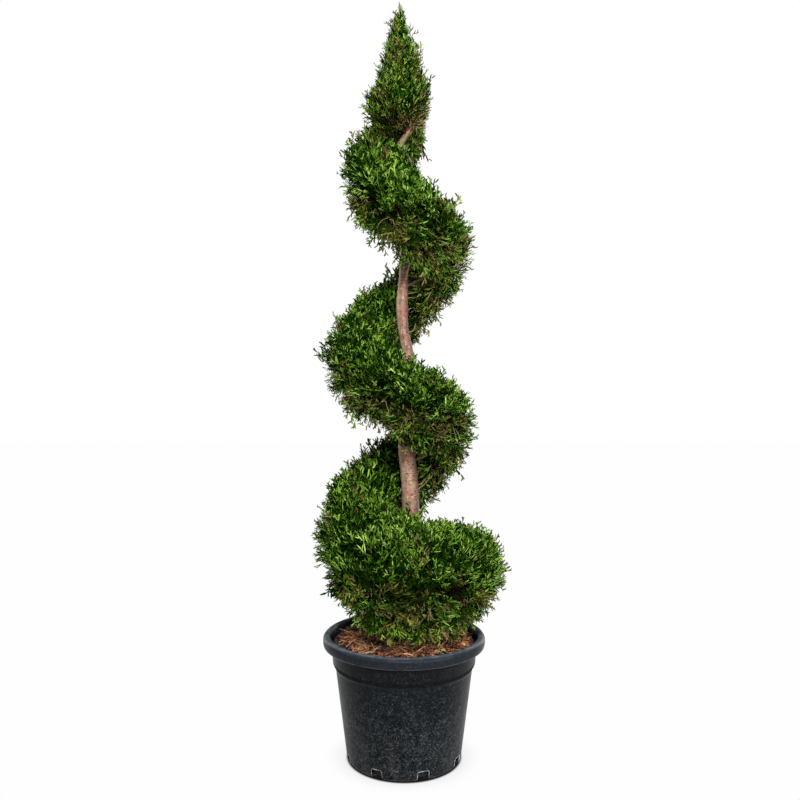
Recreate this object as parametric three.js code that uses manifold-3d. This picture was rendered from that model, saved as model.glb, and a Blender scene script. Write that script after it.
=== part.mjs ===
// A spiral topiary: a conifer clipped to a left-handed spiral, in its nursery pot.
// Millimetres, +Z up. The origin is the centre of the pot's flat underside, and the
// plant's best side faces -Y. The tree's trunk runs whole from the compost to the tip.
// The clipped foliage is a coil of quarter-turn masses below one pointed crown mass.
// A short bough carries each mass of the coil, with a gap of FIT at every joint.

import * as THREE from 'three';
import { mergeVertices } from 'three/addons/utils/BufferGeometryUtils.js';
import Module from 'manifold-3d';

const wasm = await Module();
wasm.setup();

// ---------------------------------------------------------------- driving dimensions

const FIT = 0.3;                 // gap between pieces that rest on each other
const TURN = 2 * Math.PI;
const SEED = 41;

// Nursery pot, 30 litres, 400 across the rim. Radii and heights of its outer wall.
const POT = {
  height: 304, footR: 142, footRound: 4, wallTop: 223, wallTopR: 170,
  neckFoot: 235, neckFootR: 177, neckTop: 276, neckTopR: 180,
  rimR: 201, rimInnerR: 183, rimRound: 7, wall: 3.5, floor: 4, sides: 40,
};
const NOTCH = { count: 8, width: 28, height: 23, depth: 26, firstDeg: -72 };

// Compost, a little domed towards the trunk and uneven.
const SOIL = { rimZ: 288, crownZ: 291.7, flatR: 38, lumps: 5, sides: 20 };

// Trunk: height, sway to the side, sway to the back, and radius at each bend.
const TRUNK = [
  [SOIL.crownZ + FIT, 4, 0, 23.5], [400, 10, -2, 23], [500, 14, -3, 22.5], [622, 16.5, -2, 22],
  [700, 12, 0, 21.2], [760, 7, 2, 20.5], [900, 8, 2, 17], [1010, 7.5, 0, 14.5],
  [1064, -2.5, -1, 13.2], [1114, -5, -2, 15], [1194, -1, 0, 11.5], [1350, -4, 2, 10],
  [1509, -6, 1, 8.5], [1556, 5, 0, 8], [1600, 8, 0, 7], [1700, 0, 0, 5], [1880, -12, 0, 1],
];
const TRUNK_SIDES = 10;
const TRUNK_STEP = 45;           // height between rings
const FLARE = { height: 70, extra: 9, lobes: 5, lobeDepth: 3 };

// The clipped coil, top to bottom. Turn 0 is the uppermost left side and the spiral
// descends left, front, right, back. Height of the band's middle, reach from the
// trunk's line, and half of the band's depth.
const COIL = [
  { turn: -0.50, height: 1608, reach: 58, half: 106 },
  { turn: -0.25, height: 1560, reach: 102, half: 110 },
  { turn: 0.00, height: 1449, reach: 152, half: 117 },
  { turn: 0.25, height: 1316, reach: 166, half: 114 },
  { turn: 0.50, height: 1250, reach: 173, half: 105 },
  { turn: 0.64, height: 1186, reach: 176, half: 111 },
  { turn: 0.80, height: 1096, reach: 191, half: 120 },
  { turn: 1.00, height: 981, reach: 202, half: 117 },
  { turn: 1.25, height: 880, reach: 190, half: 107 },
  { turn: 1.50, height: 811, reach: 174, half: 105 },
  { turn: 1.64, height: 740, reach: 167, half: 117 },
  { turn: 1.80, height: 661, reach: 192, half: 134 },
  { turn: 2.00, height: 553, reach: 227, half: 149 },
  { turn: 2.25, height: 474, reach: 249, half: 148 },
  { turn: 2.50, height: 455, reach: 252, half: 118 },
  { turn: 2.80, height: 424, reach: 240, half: 84 },
];
const COIL_START = -0.6;         // turns
const COIL_END = 2.82;
const END_ROUND = 0.07;          // length of the rounded ends, in turns
const TRUNK_FOLLOW = 0.5;        // share of the trunk's sway that the coil follows
const CLIP_INNER = 22;           // clipped surface's distance from the trunk's line
const SQUARE = 0.96;             // below 1, the band's section is fuller than an ellipse
const UNDERCUT = 0.17;           // how far the underside is cut in
const MASSES = ['right0', 'back0', 'left1', 'front1', 'right1', 'back1', 'left2', 'front2',
  'right2', 'back2', 'left3', 'front3', 'right3', 'back3'];
const MASS_TURNS = 0.25;

// Crown: the pointed top, as height and radius of its clipped surface.
const CROWN = [[1592, 76], [1620, 79], [1660, 73], [1730, 53], [1785, 30], [1835, 12]];
const CROWN_FOOT = 1592;
const CROWN_LEAN = [[1592, -5], [1700, -3], [1880, -12]];

// Foliage cores, boughs, twigs and leaves.
const CORE_DEPTH = 18;           // the core lies this far inside the clipped surface,
const CORE_SHARE = 0.3;          // or this share of the band's width where that is less
const CORE_INNER = [6, 1.9];     // core's inner reach: a gap, and times the trunk's radius
const CORE_LUMPS = 8;
const CORE_SIDES = 12;
const CORE_RINGS = 6;
const SEAM = 0.35;               // each mass stops this far short of its end plane
const BOUGH = { footR: 7.5, tipR: 5, rise: 0.75, sides: 7, step: 0.62, short: 4, belowCrown: 48 };
const STEM = { rootR: 4.6, tipR: 3.4, length: 40 };
const TUFT_PITCH = 88;           // distance between tufts on the clipped surface
const TWIG = { rootR: 3.8, tipR: 1.4, root: 14, length: 20 };
const SPRAY = { length: 68, width: 44, thick: 6, root: 19 };
const REACH = 15;                // how far a tip may stand out of the clipped surface
const LIFT = 0.38;               // upward bend of each tuft
const ROOT_VOLUME = 6;           // least volume of a leaf's root inside the core, mm3
const TOUCH = 2;                 // leaves keep this far from limbs
const SOIL_CLEAR = 5;

const COLOURS = {
  pot: 0x24282c, soil: 0x6b4630, bark: 0xa8806a, bough: 0x8a6a52, leaf: 0x3c6b24, crown: 0x47782c,
};

// ---------------------------------------------------------------- small helpers

// A seeded run of numbers from 0 to 1, the same each time.
function seeded(seed) {
  let state = seed >>> 0;
  return () => {
    state = (state + 0x6d2b79f5) >>> 0;
    let t = state;
    t = Math.imul(t ^ (t >>> 15), t | 1);
    t ^= t + Math.imul(t ^ (t >>> 7), t | 61);
    return ((t ^ (t >>> 14)) >>> 0) / 4294967296;
  };
}

// Value at x on straight lines through rows of [x, value], held flat past the ends.
function along(rows, x, column = 1) {
  if (x <= rows[0][0]) return rows[0][column];
  for (let i = 1; i < rows.length; i++) {
    if (x > rows[i][0]) continue;
    const t = (x - rows[i - 1][0]) / (rows[i][0] - rows[i - 1][0]);
    return THREE.MathUtils.lerp(rows[i - 1][column], rows[i][column], t);
  }
  return rows[rows.length - 1][column];
}

// Smooth value at x through rows of [x, value]: Hermite pieces whose slopes are the
// mean of the slopes beside each row, so the curve has no kink.
function smooth(rows, x) {
  const last = rows.length - 1;
  const slope = (i) => (rows[i + 1][1] - rows[i][1]) / (rows[i + 1][0] - rows[i][0]);
  const tangent = (i) => (i === 0 ? slope(0) : i === last ? slope(last - 1) : (slope(i - 1) + slope(i)) / 2);
  const at = THREE.MathUtils.clamp(x, rows[0][0], rows[last][0]);
  let i = 0;
  while (i < last - 1 && at > rows[i + 1][0]) i++;
  const span = rows[i + 1][0] - rows[i][0];
  const t = (at - rows[i][0]) / span;
  const h00 = (1 + 2 * t) * (1 - t) ** 2;
  const h10 = t * (1 - t) ** 2;
  const h01 = t * t * (3 - 2 * t);
  const h11 = t * t * (t - 1);
  return h00 * rows[i][1] + h10 * span * tangent(i) + h01 * rows[i + 1][1] + h11 * span * tangent(i + 1);
}

// Body of triangles from points and faces, turned so that its faces point outwards.
function body(points, faces) {
  let volume = 0;
  for (const [a, b, c] of faces) {
    volume += points[a].dot(new THREE.Vector3().crossVectors(points[b], points[c])) / 6;
  }
  const turned = volume < 0 ? faces.map(([a, b, c]) => [a, c, b]) : faces;
  const geometry = new THREE.BufferGeometry();
  geometry.setAttribute('position', new THREE.Float32BufferAttribute(points.flatMap((p) => p.toArray()), 3));
  geometry.setIndex(turned.flat());
  return geometry;
}

// Closed skin over a row of rings that have the same number of points.
function loft(rings) {
  const n = rings[0].length;
  const points = rings.flat();
  const faces = [];
  for (let i = 0; i < rings.length - 1; i++) {
    for (let j = 0; j < n; j++) {
      const a = i * n + j;
      const b = i * n + (j + 1) % n;
      faces.push([a, b, b + n], [a, b + n, a + n]);
    }
  }
  const cap = (ring, flip) => {
    const centre = points.length;
    const start = ring * n;
    points.push(rings[ring].reduce((sum, p) => sum.add(p), new THREE.Vector3()).divideScalar(n));
    for (let j = 0; j < n; j++) {
      const k = (j + 1) % n;
      faces.push(flip ? [centre, start + k, start + j] : [centre, start + j, start + k]);
    }
  };
  cap(0, true);
  cap(rings.length - 1, false);
  return body(points, faces);
}

// three.js geometry to a solid that can be joined and cut, and back.
function solid(geometry) {
  const plain = geometry.clone();
  plain.deleteAttribute('normal');
  plain.deleteAttribute('uv');
  const merged = mergeVertices(plain, 1e-4);
  const mesh = new wasm.Mesh({
    numProp: 3,
    vertProperties: new Float32Array(merged.attributes.position.array),
    triVerts: new Uint32Array(merged.index.array),
  });
  return new wasm.Manifold(mesh);
}

function geometryOf(manifold) {
  const mesh = manifold.getMesh();
  const geometry = new THREE.BufferGeometry();
  geometry.setAttribute('position', new THREE.BufferAttribute(new Float32Array(mesh.vertProperties), 3));
  geometry.setIndex(new THREE.BufferAttribute(new Uint32Array(mesh.triVerts), 1));
  return geometry;
}

function piece(name, geometry, colour, roughness) {
  const material = new THREE.MeshStandardMaterial({ color: colour, roughness, metalness: 0 });
  const mesh = new THREE.Mesh(geometry, material);
  mesh.name = name;
  return mesh;
}

// ---------------------------------------------------------------- pot and compost

// Lathe profiles are drawn as [radius, height] and stood up from +Y to +Z.
function turned(profile, sides) {
  const points = profile.map(([r, z]) => new THREE.Vector2(r, z));
  return new THREE.LatheGeometry(points, sides).rotateX(Math.PI / 2);
}

// Three points of a quarter round from one edge to the next, about a centre.
function quarterRound(centreR, centreZ, radius, fromDeg) {
  return [0, 45, 90].map((turn) => {
    const a = THREE.MathUtils.degToRad(fromDeg + turn);
    return [centreR + radius * Math.cos(a), centreZ + radius * Math.sin(a)];
  });
}

function potGeometry() {
  const p = POT;
  const shell = turned([
    [0, 0],
    ...quarterRound(p.footR - p.footRound, p.footRound, p.footRound, -90),
    [p.wallTopR, p.wallTop], [p.neckFootR, p.neckFoot], [p.neckTopR, p.neckTop],
    [p.rimR - 2, p.neckTop + 1], [p.rimR, p.neckTop + 6],
    ...quarterRound(p.rimR - p.rimRound, p.height - p.rimRound, p.rimRound, 0),
    [p.rimInnerR + 3, p.height], [p.rimInnerR, p.height - 4],
    [p.neckTopR - p.wall, p.neckTop], [p.neckFootR - p.wall, p.neckFoot],
    [p.wallTopR - p.wall, p.wallTop], [p.footR - p.wall, p.footRound + p.floor], [p.footR - 10, p.floor],
    [0, p.floor],
  ], p.sides);
  let pot = solid(shell);
  for (let i = 0; i < NOTCH.count; i++) {
    const bearing = THREE.MathUtils.degToRad(NOTCH.firstDeg - 90 + (i * 360) / NOTCH.count);
    const notch = new THREE.BoxGeometry(NOTCH.depth, NOTCH.width, NOTCH.height * 2);
    notch.translate(p.footR, 0, 0).rotateZ(bearing);
    pot = pot.subtract(solid(notch));
  }
  return geometryOf(pot);
}

// The compost fills the pot from its floor, just clear of the wall.
function compostGeometry() {
  const random = seeded(SEED);
  const inside = POT.wall + 0.6;
  const surface = [0.86, 0.68, 0.5, 0.34];
  const wallR = POT.neckTopR - inside;
  const rise = SOIL.crownZ - SOIL.rimZ;
  const geometry = turned([
    [0, POT.floor + FIT], [POT.footR - 12, POT.floor + FIT], [POT.wallTopR - inside, POT.wallTop],
    [POT.neckFootR - inside, POT.neckFoot], [wallR - 1, SOIL.rimZ],
    ...surface.map((share) => [wallR * share, SOIL.rimZ + rise * (1 - share)]),
    [SOIL.flatR, SOIL.crownZ], [0, SOIL.crownZ],
  ], SOIL.sides);
  const merged = mergeVertices(geometry.deleteAttribute('normal').deleteAttribute('uv'), 1e-3);
  const place = merged.attributes.position;
  for (let i = 0; i < place.count; i++) {
    const radius = Math.hypot(place.getX(i), place.getY(i));
    const onSurface = place.getZ(i) > SOIL.rimZ + 0.5 && radius > SOIL.flatR + 1;
    if (onSurface) place.setZ(i, place.getZ(i) + (random() - 0.5) * 2 * SOIL.lumps);
  }
  return merged;
}

// ---------------------------------------------------------------- trunk and coil rules

const trunkCurve = new THREE.CatmullRomCurve3(TRUNK.map(([z, x, y]) => new THREE.Vector3(x, y, z)), false, 'centripetal');
const trunkLine = trunkCurve.getPoints(400).map((p) => [p.z, p.x, p.y]);
const trunkAt = (z) => new THREE.Vector3(along(trunkLine, z, 1), along(trunkLine, z, 2), z);
const trunkRadius = (z) => along(TRUNK, z, 3);

// Root flare: the foot spreads in lobes just above the compost.
function flareAt(z, bearing) {
  const share = THREE.MathUtils.clamp(1 - (z - TRUNK[0][0]) / FLARE.height, 0, 1) ** 2;
  return share * (FLARE.extra + FLARE.lobeDepth * Math.cos(FLARE.lobes * bearing));
}

// The trunk, or the same shape grown by a margin to cut its neighbours clear of it.
function trunkGeometry(margin = 0) {
  const low = TRUNK[0][0];
  const high = TRUNK[TRUNK.length - 1][0];
  const steps = Math.round((high - low) / TRUNK_STEP);
  const rings = [];
  for (let i = 0; i <= steps; i++) {
    const z = THREE.MathUtils.lerp(low, high, i / steps);
    const centre = trunkAt(z);
    const end = i === 0 ? -margin : i === steps ? margin : 0;
    rings.push(Array.from({ length: TRUNK_SIDES }, (_, j) => {
      const bearing = (j / TRUNK_SIDES) * TURN;
      const r = trunkRadius(z) + flareAt(z, bearing) + margin;
      return new THREE.Vector3(centre.x + r * Math.cos(bearing), centre.y + r * Math.sin(bearing), z + end);
    }));
  }
  return loft(rings);
}
const trunkCutter = solid(trunkGeometry(FIT / Math.cos(Math.PI / TRUNK_SIDES) + 0.1));

// The coil's clipped section at a turn: middle, half width and half depth, which
// shrink in a round at the two ends.
const coilRows = (key) => COIL.map((row) => [row.turn, row[key]]);
const HEIGHTS = coilRows('height');
const REACHES = coilRows('reach');
const HALVES = coilRows('half');

function sectionAt(turn) {
  const z = smooth(HEIGHTS, turn);
  const bearing = Math.PI + turn * TURN;
  const toEnd = Math.min(turn - COIL_START, COIL_END - turn) / END_ROUND;
  const round = Math.sqrt(1 - (1 - THREE.MathUtils.clamp(toEnd, 0, 1)) ** 2);
  return { turn, z, bearing, outer: smooth(REACHES, turn), half: smooth(HALVES, turn) * round,
    axis: trunkAt(z).setZ(0).multiplyScalar(TRUNK_FOLLOW), round };
}

// Signed power that keeps the sign, for the section's fuller corners.
const bulge = (v) => Math.sign(v) * Math.abs(v) ** SQUARE;

// Core of a section: its inner reach, and how far it lies inside the clipped surface.
function coreOf(section) {
  const inner = CORE_INNER[0] + CORE_INNER[1] * trunkRadius(section.z);
  return { inner, depth: Math.min(CORE_DEPTH, CORE_SHARE * (section.outer - inner)) };
}

// Point of a section at angle a: 0 points away from the trunk, 90 degrees up. The
// inner edge keeps its own distance and depth is taken off all round.
function sectionPoint(section, a, inner, depth) {
  const up = bulge(Math.sin(a));
  const out = bulge(Math.cos(a)) * (1 - UNDERCUT * Math.max(0, -up));
  const outer = section.outer - depth;
  const width = ((outer - inner) / 2) * section.round;
  const r = (outer + inner) / 2 + width * out;
  const high = Math.max(section.half - depth * section.round, 1) * up;
  return new THREE.Vector3(
    section.axis.x + r * Math.cos(section.bearing),
    section.axis.y + r * Math.sin(section.bearing),
    section.z + high,
  );
}

// ---------------------------------------------------------------- space of each mass

// A mass keeps between its two end planes, near the clipped surface, clear of limbs.
function wedge(from, to) {
  const planes = [[from, 1], [to, -1]].map(([turn, sense]) => {
    const section = sectionAt(turn);
    const side = new THREE.Vector3(-Math.sin(section.bearing), Math.cos(section.bearing), 0).multiplyScalar(sense);
    return { side, offset: side.dot(section.axis) };
  });
  return (p) => planes.every(({ side, offset }) => side.dot(p) - offset > SEAM);
}

function nearTrunk(p) {
  const centre = trunkAt(p.z);
  return Math.hypot(p.x - centre.x, p.y - centre.y) < trunkRadius(p.z) + flareAt(p.z, 0) + TOUCH;
}

function nearBough(p, bough) {
  const nearest = new THREE.Line3(bough.foot, bough.tip).closestPointToPoint(p, true, new THREE.Vector3());
  return nearest.distanceTo(p) < BOUGH.footR + TOUCH;
}

// Is the point within REACH of the coil's clipped surface?
function inCoil(p, from, to) {
  const middle = (from + to) / 2;
  const bearing = Math.atan2(p.y, p.x) - Math.PI;
  const turn = bearing / TURN + Math.round(middle - bearing / TURN);
  const section = sectionAt(THREE.MathUtils.clamp(turn, from, to));
  const r = Math.hypot(p.x - section.axis.x, p.y - section.axis.y);
  const centre = (section.outer + CLIP_INNER) / 2;
  const wide = (section.outer - CLIP_INNER) / 2 + REACH;
  const high = section.half + REACH;
  return ((r - centre) / wide) ** 2 + ((p.z - section.z) / high) ** 2 < 1.08;
}

// ---------------------------------------------------------------- twigs and leaves

// A three-sided tapering twig from a to b.
function twigGeometry(a, b, rootR, tipR) {
  const axis = new THREE.Vector3().subVectors(b, a).normalize();
  const side = new THREE.Vector3(-axis.y, axis.x, 0.01).normalize();
  const other = new THREE.Vector3().crossVectors(axis, side);
  const ring = (centre, r) => [0, 1, 2].map((i) => centre.clone()
    .addScaledVector(side, r * Math.cos((i * TURN) / 3)).addScaledVector(other, r * Math.sin((i * TURN) / 3)));
  return body([...ring(a, rootR), ...ring(b, tipR)],
    [[0, 1, 2], [3, 5, 4], [0, 4, 1], [0, 3, 4], [1, 5, 2], [1, 4, 5], [2, 3, 0], [2, 5, 3]]);
}

// Outline of a spray, as shares of its length and width: root, side tip, notch, tip,
// notch, side tip. A ridge point on each face makes it thick at the middle.
const SPRAY_OUTLINE = [[0, 0], [0.74, 0.5], [0.64, 0.16], [1, 0], [0.64, -0.16], [0.74, -0.5]];
const SPRAY_RIDGE = 0.42;
const SPRAY_SIZES = [1, 0.86, 0.72, 0.58];

function sprayGeometry(root, direction, side, scale) {
  const face = new THREE.Vector3().crossVectors(direction, side).normalize();
  const at = (l, w, t) => root.clone().addScaledVector(direction, l * SPRAY.length * scale)
    .addScaledVector(side, w * SPRAY.width * scale).addScaledVector(face, t * SPRAY.thick);
  const rim = SPRAY_OUTLINE.map(([l, w]) => at(l, w, 0));
  const n = rim.length;
  const faces = rim.flatMap((_, i) => [[i, (i + 1) % n, n], [(i + 1) % n, i, n + 1]]);
  const points = [...rim, at(SPRAY_RIDGE, 0, 0.5), at(SPRAY_RIDGE, 0, -0.5)];
  return { points, geometry: body(points, faces) };
}

// One tuft: a twig out of the core and a spray at its end. A part that leaves the
// mass's space, or comes near a limb, is made smaller and otherwise skipped.
function tuft(core, outward, random, allowed) {
  const direction = outward.clone().setZ(outward.z + LIFT + (random() - 0.5) * 0.4);
  direction.x += (random() - 0.5) * 0.5;
  direction.y += (random() - 0.5) * 0.5;
  direction.normalize();
  const roll = new THREE.Vector3(random() - 0.5, random() - 0.5, random() * 0.8).normalize();
  const side = new THREE.Vector3().crossVectors(direction, roll).normalize();
  const size = 0.85 + random() * 0.35;
  for (const share of SPRAY_SIZES) {
    const root = core.clone().addScaledVector(direction, -SPRAY.root);
    const { points, geometry } = sprayGeometry(root, direction, side, size * share);
    if (!points.every(allowed)) continue;
    const foot = core.clone().addScaledVector(direction, -TWIG.root);
    const fork = core.clone().addScaledVector(direction, TWIG.length * share);
    const twig = allowed(fork) && allowed(foot) ? [twigGeometry(foot, fork, TWIG.rootR, TWIG.tipR)] : [];
    return [geometry, ...twig];
  }
  return [];
}

// Fuses the parts whose roots sit well inside the core; a loose one is dropped.
function fuse(core, parts) {
  const rooted = parts.map(solid).filter((part) => core.intersect(part).volume() > ROOT_VOLUME);
  return rooted.reduce((joined, part) => joined.add(part), core);
}

// ---------------------------------------------------------------- coil masses

// A bough rises out of the trunk towards the middle of its mass.
function boughOf(from, to) {
  const section = sectionAt(THREE.MathUtils.lerp(from, to, BOUGH.step));
  const z = Math.min(section.z, CROWN_FOOT - BOUGH.belowCrown);
  const outward = new THREE.Vector3(Math.cos(section.bearing), Math.sin(section.bearing), 0);
  const run = coreOf(section).inner - BOUGH.short;
  const tip = section.axis.clone().addScaledVector(outward, run).setZ(z);
  const foot = trunkAt(z - run * BOUGH.rise);
  const slim = Math.min(1, 0.45 + trunkRadius(z) / 30);
  return { foot, tip, slim };
}

function boughGeometry({ foot, tip, slim }) {
  const limb = new THREE.Vector3().subVectors(tip, foot);
  const cone = new THREE.CylinderGeometry(BOUGH.tipR * slim, BOUGH.footR * slim, limb.length(), BOUGH.sides, 1);
  cone.translate(0, limb.length() / 2, 0);
  cone.applyQuaternion(new THREE.Quaternion().setFromUnitVectors(new THREE.Vector3(0, 1, 0), limb.normalize()));
  cone.translate(foot.x, foot.y, foot.z);
  const outside = solid(cone).subtract(trunkCutter);
  return geometryOf(outside);
}

// Core of a coil mass between two end planes.
function coreGeometry(from, to, random) {
  const rings = [];
  for (let i = 0; i < CORE_RINGS; i++) {
    const section = sectionAt(THREE.MathUtils.lerp(from, to, i / (CORE_RINGS - 1)));
    const { inner, depth } = coreOf(section);
    rings.push(Array.from({ length: CORE_SIDES }, (_, j) => {
      const lump = i === 0 || i === CORE_RINGS - 1 ? 0 : random() - 0.5;
      return sectionPoint(section, (j / CORE_SIDES) * TURN, inner, depth + lump * CORE_LUMPS);
    }));
  }
  return loft(rings);
}

// Turns of a mass, drawn in by its seam so that neighbours never touch.
function massTurns(index) {
  const start = -0.625 + index * MASS_TURNS;
  const gap = SEAM / (TURN * 30);
  const from = Math.max(start, COIL_START + END_ROUND * 0.15) + gap;
  const to = Math.min(start + MASS_TURNS, COIL_END - END_ROUND * 0.15) - gap;
  return { from, to };
}

// Tufts in even rows and columns over the outside of the band, each a little astray.
function coilTufts(from, to, random, allowed) {
  const middle = sectionAt((from + to) / 2);
  const girth = Math.PI * (middle.half + (middle.outer - CLIP_INNER) / 2) * 0.86;
  const length = (to - from) * TURN * middle.outer * 0.86;
  const rows = Math.max(3, Math.round(girth / TUFT_PITCH));
  const columns = Math.max(2, Math.round(length / TUFT_PITCH));
  const parts = [];
  for (let i = 0; i < columns; i++) {
    for (let j = 0; j < rows; j++) {
      const turn = THREE.MathUtils.lerp(from, to, (i + 0.5 + (random() - 0.5) * 0.5) / columns);
      const a = THREE.MathUtils.degToRad(-158 + (316 * (j + (i % 2 ? 0.7 : 0.3) + (random() - 0.5) * 0.3)) / rows);
      const section = sectionAt(turn);
      const { inner, depth } = coreOf(section);
      const onCore = sectionPoint(section, a, inner, depth + 2);
      const onClip = sectionPoint(section, a, CLIP_INNER, 0);
      const outward = new THREE.Vector3().subVectors(onClip, onCore).normalize();
      parts.push(...tuft(onCore, outward, random, allowed));
    }
  }
  return parts;
}

function coilMass(index) {
  const random = seeded(SEED + index * 101);
  const { from, to } = massTurns(index);
  const bough = boughOf(from, to);
  const inWedge = wedge(from, to);
  const allowed = (p) => inWedge(p) && p.z < CROWN_FOOT - SEAM && p.z > SOIL.crownZ + SOIL_CLEAR
    && !nearTrunk(p) && !nearBough(p, bough) && inCoil(p, from, to);
  let core = solid(coreGeometry(from, to, random));
  const topOfMass = core.boundingBox().max[2];
  if (topOfMass > CROWN_FOOT - SEAM) {
    const above = new THREE.BoxGeometry(600, 600, 300).translate(0, 0, CROWN_FOOT - SEAM + 150);
    core = core.subtract(solid(above));
  }
  const way = new THREE.Vector3().subVectors(bough.tip, bough.foot).normalize();
  const stemFoot = bough.tip.clone().addScaledVector(way, FIT);
  const stem = twigGeometry(stemFoot, stemFoot.clone().addScaledVector(way, STEM.length),
    STEM.rootR * bough.slim, STEM.tipR * bough.slim);
  const joined = fuse(core, [stem, ...coilTufts(from, to, random, allowed)]);
  return { bough, geometry: geometryOf(joined) };
}

// ---------------------------------------------------------------- crown mass

function crownMass() {
  const random = seeded(SEED + 7777);
  const leanAt = (z) => along(CROWN_LEAN, z);
  const ring = (z, r) => Array.from({ length: CORE_SIDES }, (_, j) => {
    const bearing = (j / CORE_SIDES) * TURN;
    return new THREE.Vector3(leanAt(z) + r * Math.cos(bearing), r * Math.sin(bearing), z);
  });
  const depthAt = (z) => THREE.MathUtils.lerp(CORE_DEPTH * 0.75, 4, (z - CROWN_FOOT) / (CROWN.at(-1)[0] - CROWN_FOOT));
  const core = solid(loft(CROWN.map(([z, r]) => ring(z + SEAM, r - depthAt(z))))).subtract(trunkCutter);
  const allowed = (p) => p.z > CROWN_FOOT + SEAM
    && Math.hypot(p.x - leanAt(p.z), p.y) < Math.max(along(CROWN, p.z) + REACH * 0.6, 8);
  const parts = [];
  const rows = 5;
  for (let i = 0; i < rows; i++) {
    const z = THREE.MathUtils.lerp(CROWN_FOOT + 8, CROWN.at(-1)[0] - 22, i / (rows - 1));
    const clipR = along(CROWN, z);
    const count = Math.max(3, Math.round((TURN * clipR) / TUFT_PITCH));
    for (let j = 0; j < count; j++) {
      const bearing = ((j + 0.5 * (i % 2) + (random() - 0.5) * 0.4) / count) * TURN;
      const outward = new THREE.Vector3(Math.cos(bearing), Math.sin(bearing), 0.55 + i * 0.35).normalize();
      const r = clipR - depthAt(z) - 2;
      const onCore = new THREE.Vector3(leanAt(z) + r * Math.cos(bearing), r * Math.sin(bearing), z);
      parts.push(...tuft(onCore, outward, random, allowed));
    }
  }
  return geometryOf(fuse(core, parts).subtract(trunkCutter));
}

// ---------------------------------------------------------------- the whole topiary

const planter = new THREE.Group();
planter.add(piece('pot', potGeometry(), COLOURS.pot, 0.5));
planter.add(piece('compost', compostGeometry(), COLOURS.soil, 0.95));

const plant = new THREE.Group();
plant.add(piece('trunk', trunkGeometry(), COLOURS.bark, 0.8));
MASSES.forEach((name, index) => {
  const { bough, geometry } = coilMass(index);
  plant.add(piece(`bough_${name}`, boughGeometry(bough), COLOURS.bough, 0.85));
  plant.add(piece(`foliage_${name}`, geometry, COLOURS.leaf, 0.7));
});
plant.add(piece('foliage_crown', crownMass(), COLOURS.crown, 0.7));

const topiary = new THREE.Group();
topiary.add(planter, plant);

export default topiary;
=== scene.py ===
# %% [markdown]
# # A clipped conifer spiral in its nursery pot
# The plant is a young evergreen whose side growth was clipped into a band that winds
# down a bare trunk, below a pointed crown. This lesson dresses the plain solids of the
# frame: a plastic pot, bark mulch, a trunk with real bark relief, and about a million
# small faces of foliage. It starts with the frame, because every size comes from there.

# %% Load the frame
import math

import bpy
import numpy as np
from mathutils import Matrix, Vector


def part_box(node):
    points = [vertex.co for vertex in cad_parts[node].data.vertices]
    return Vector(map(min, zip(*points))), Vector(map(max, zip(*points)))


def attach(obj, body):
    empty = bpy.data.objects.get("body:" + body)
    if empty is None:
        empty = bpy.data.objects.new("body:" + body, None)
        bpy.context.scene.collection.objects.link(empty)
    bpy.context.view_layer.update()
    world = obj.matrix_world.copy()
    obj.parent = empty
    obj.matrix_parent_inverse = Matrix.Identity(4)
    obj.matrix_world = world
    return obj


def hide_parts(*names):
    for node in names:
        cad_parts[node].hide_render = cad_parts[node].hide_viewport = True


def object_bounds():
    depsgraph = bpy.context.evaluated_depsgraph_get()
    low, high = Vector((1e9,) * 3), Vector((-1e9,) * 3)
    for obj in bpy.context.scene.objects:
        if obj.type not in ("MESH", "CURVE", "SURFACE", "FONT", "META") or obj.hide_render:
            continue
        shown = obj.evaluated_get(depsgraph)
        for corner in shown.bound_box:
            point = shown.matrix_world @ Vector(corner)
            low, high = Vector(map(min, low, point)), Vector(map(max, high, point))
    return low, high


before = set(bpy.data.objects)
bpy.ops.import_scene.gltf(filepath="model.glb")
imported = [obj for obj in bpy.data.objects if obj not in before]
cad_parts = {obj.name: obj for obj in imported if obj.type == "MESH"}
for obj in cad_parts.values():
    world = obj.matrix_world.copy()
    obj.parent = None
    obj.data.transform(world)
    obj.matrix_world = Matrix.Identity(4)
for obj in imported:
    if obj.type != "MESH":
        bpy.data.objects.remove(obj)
cad_low, cad_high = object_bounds()
MM = 0.001
TURN = 2 * math.pi
UP = np.array([0, 0, 1.0])
SEED = 41
print("frame box", [round(v, 3) for v in cad_high - cad_low], "nodes", len(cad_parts))

# %% [markdown]
# ## Camera
# A tall narrow plant looks right from far back with a fairly long lens, held level at
# about its middle, so that the trunk doesn't lean in the view.

# %% Camera
CAMERA_BACK = 1.911
CAMERA_HEIGHT = 0.884
CAMERA_SIDE = -0.010
VIEW_SLOPE = 800 / 765           # width of the view over its distance

camera_data = bpy.data.cameras.new("camera")
camera_data.sensor_width = 36
camera_data.lens = camera_data.sensor_width / VIEW_SLOPE
camera = bpy.data.objects.new("camera", camera_data)
camera.location = (CAMERA_SIDE, -CAMERA_BACK, CAMERA_HEIGHT)
camera.rotation_euler = (math.pi / 2, 0, 0)
bpy.context.collection.objects.link(camera)
bpy.context.scene.camera = camera
print("lens", round(camera_data.lens, 2), "mm")

# %% [markdown]
# ## Writing node trees as sums
# Shader maths reads best as plain arithmetic. `Wire` wraps one output socket, so that
# `1 - mask` or `noise * 0.3` adds its Math node. `Nodes.add` makes any other node from
# its type, its settings and the values or links of its sockets. Both work in shader
# trees and in geometry trees.

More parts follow.
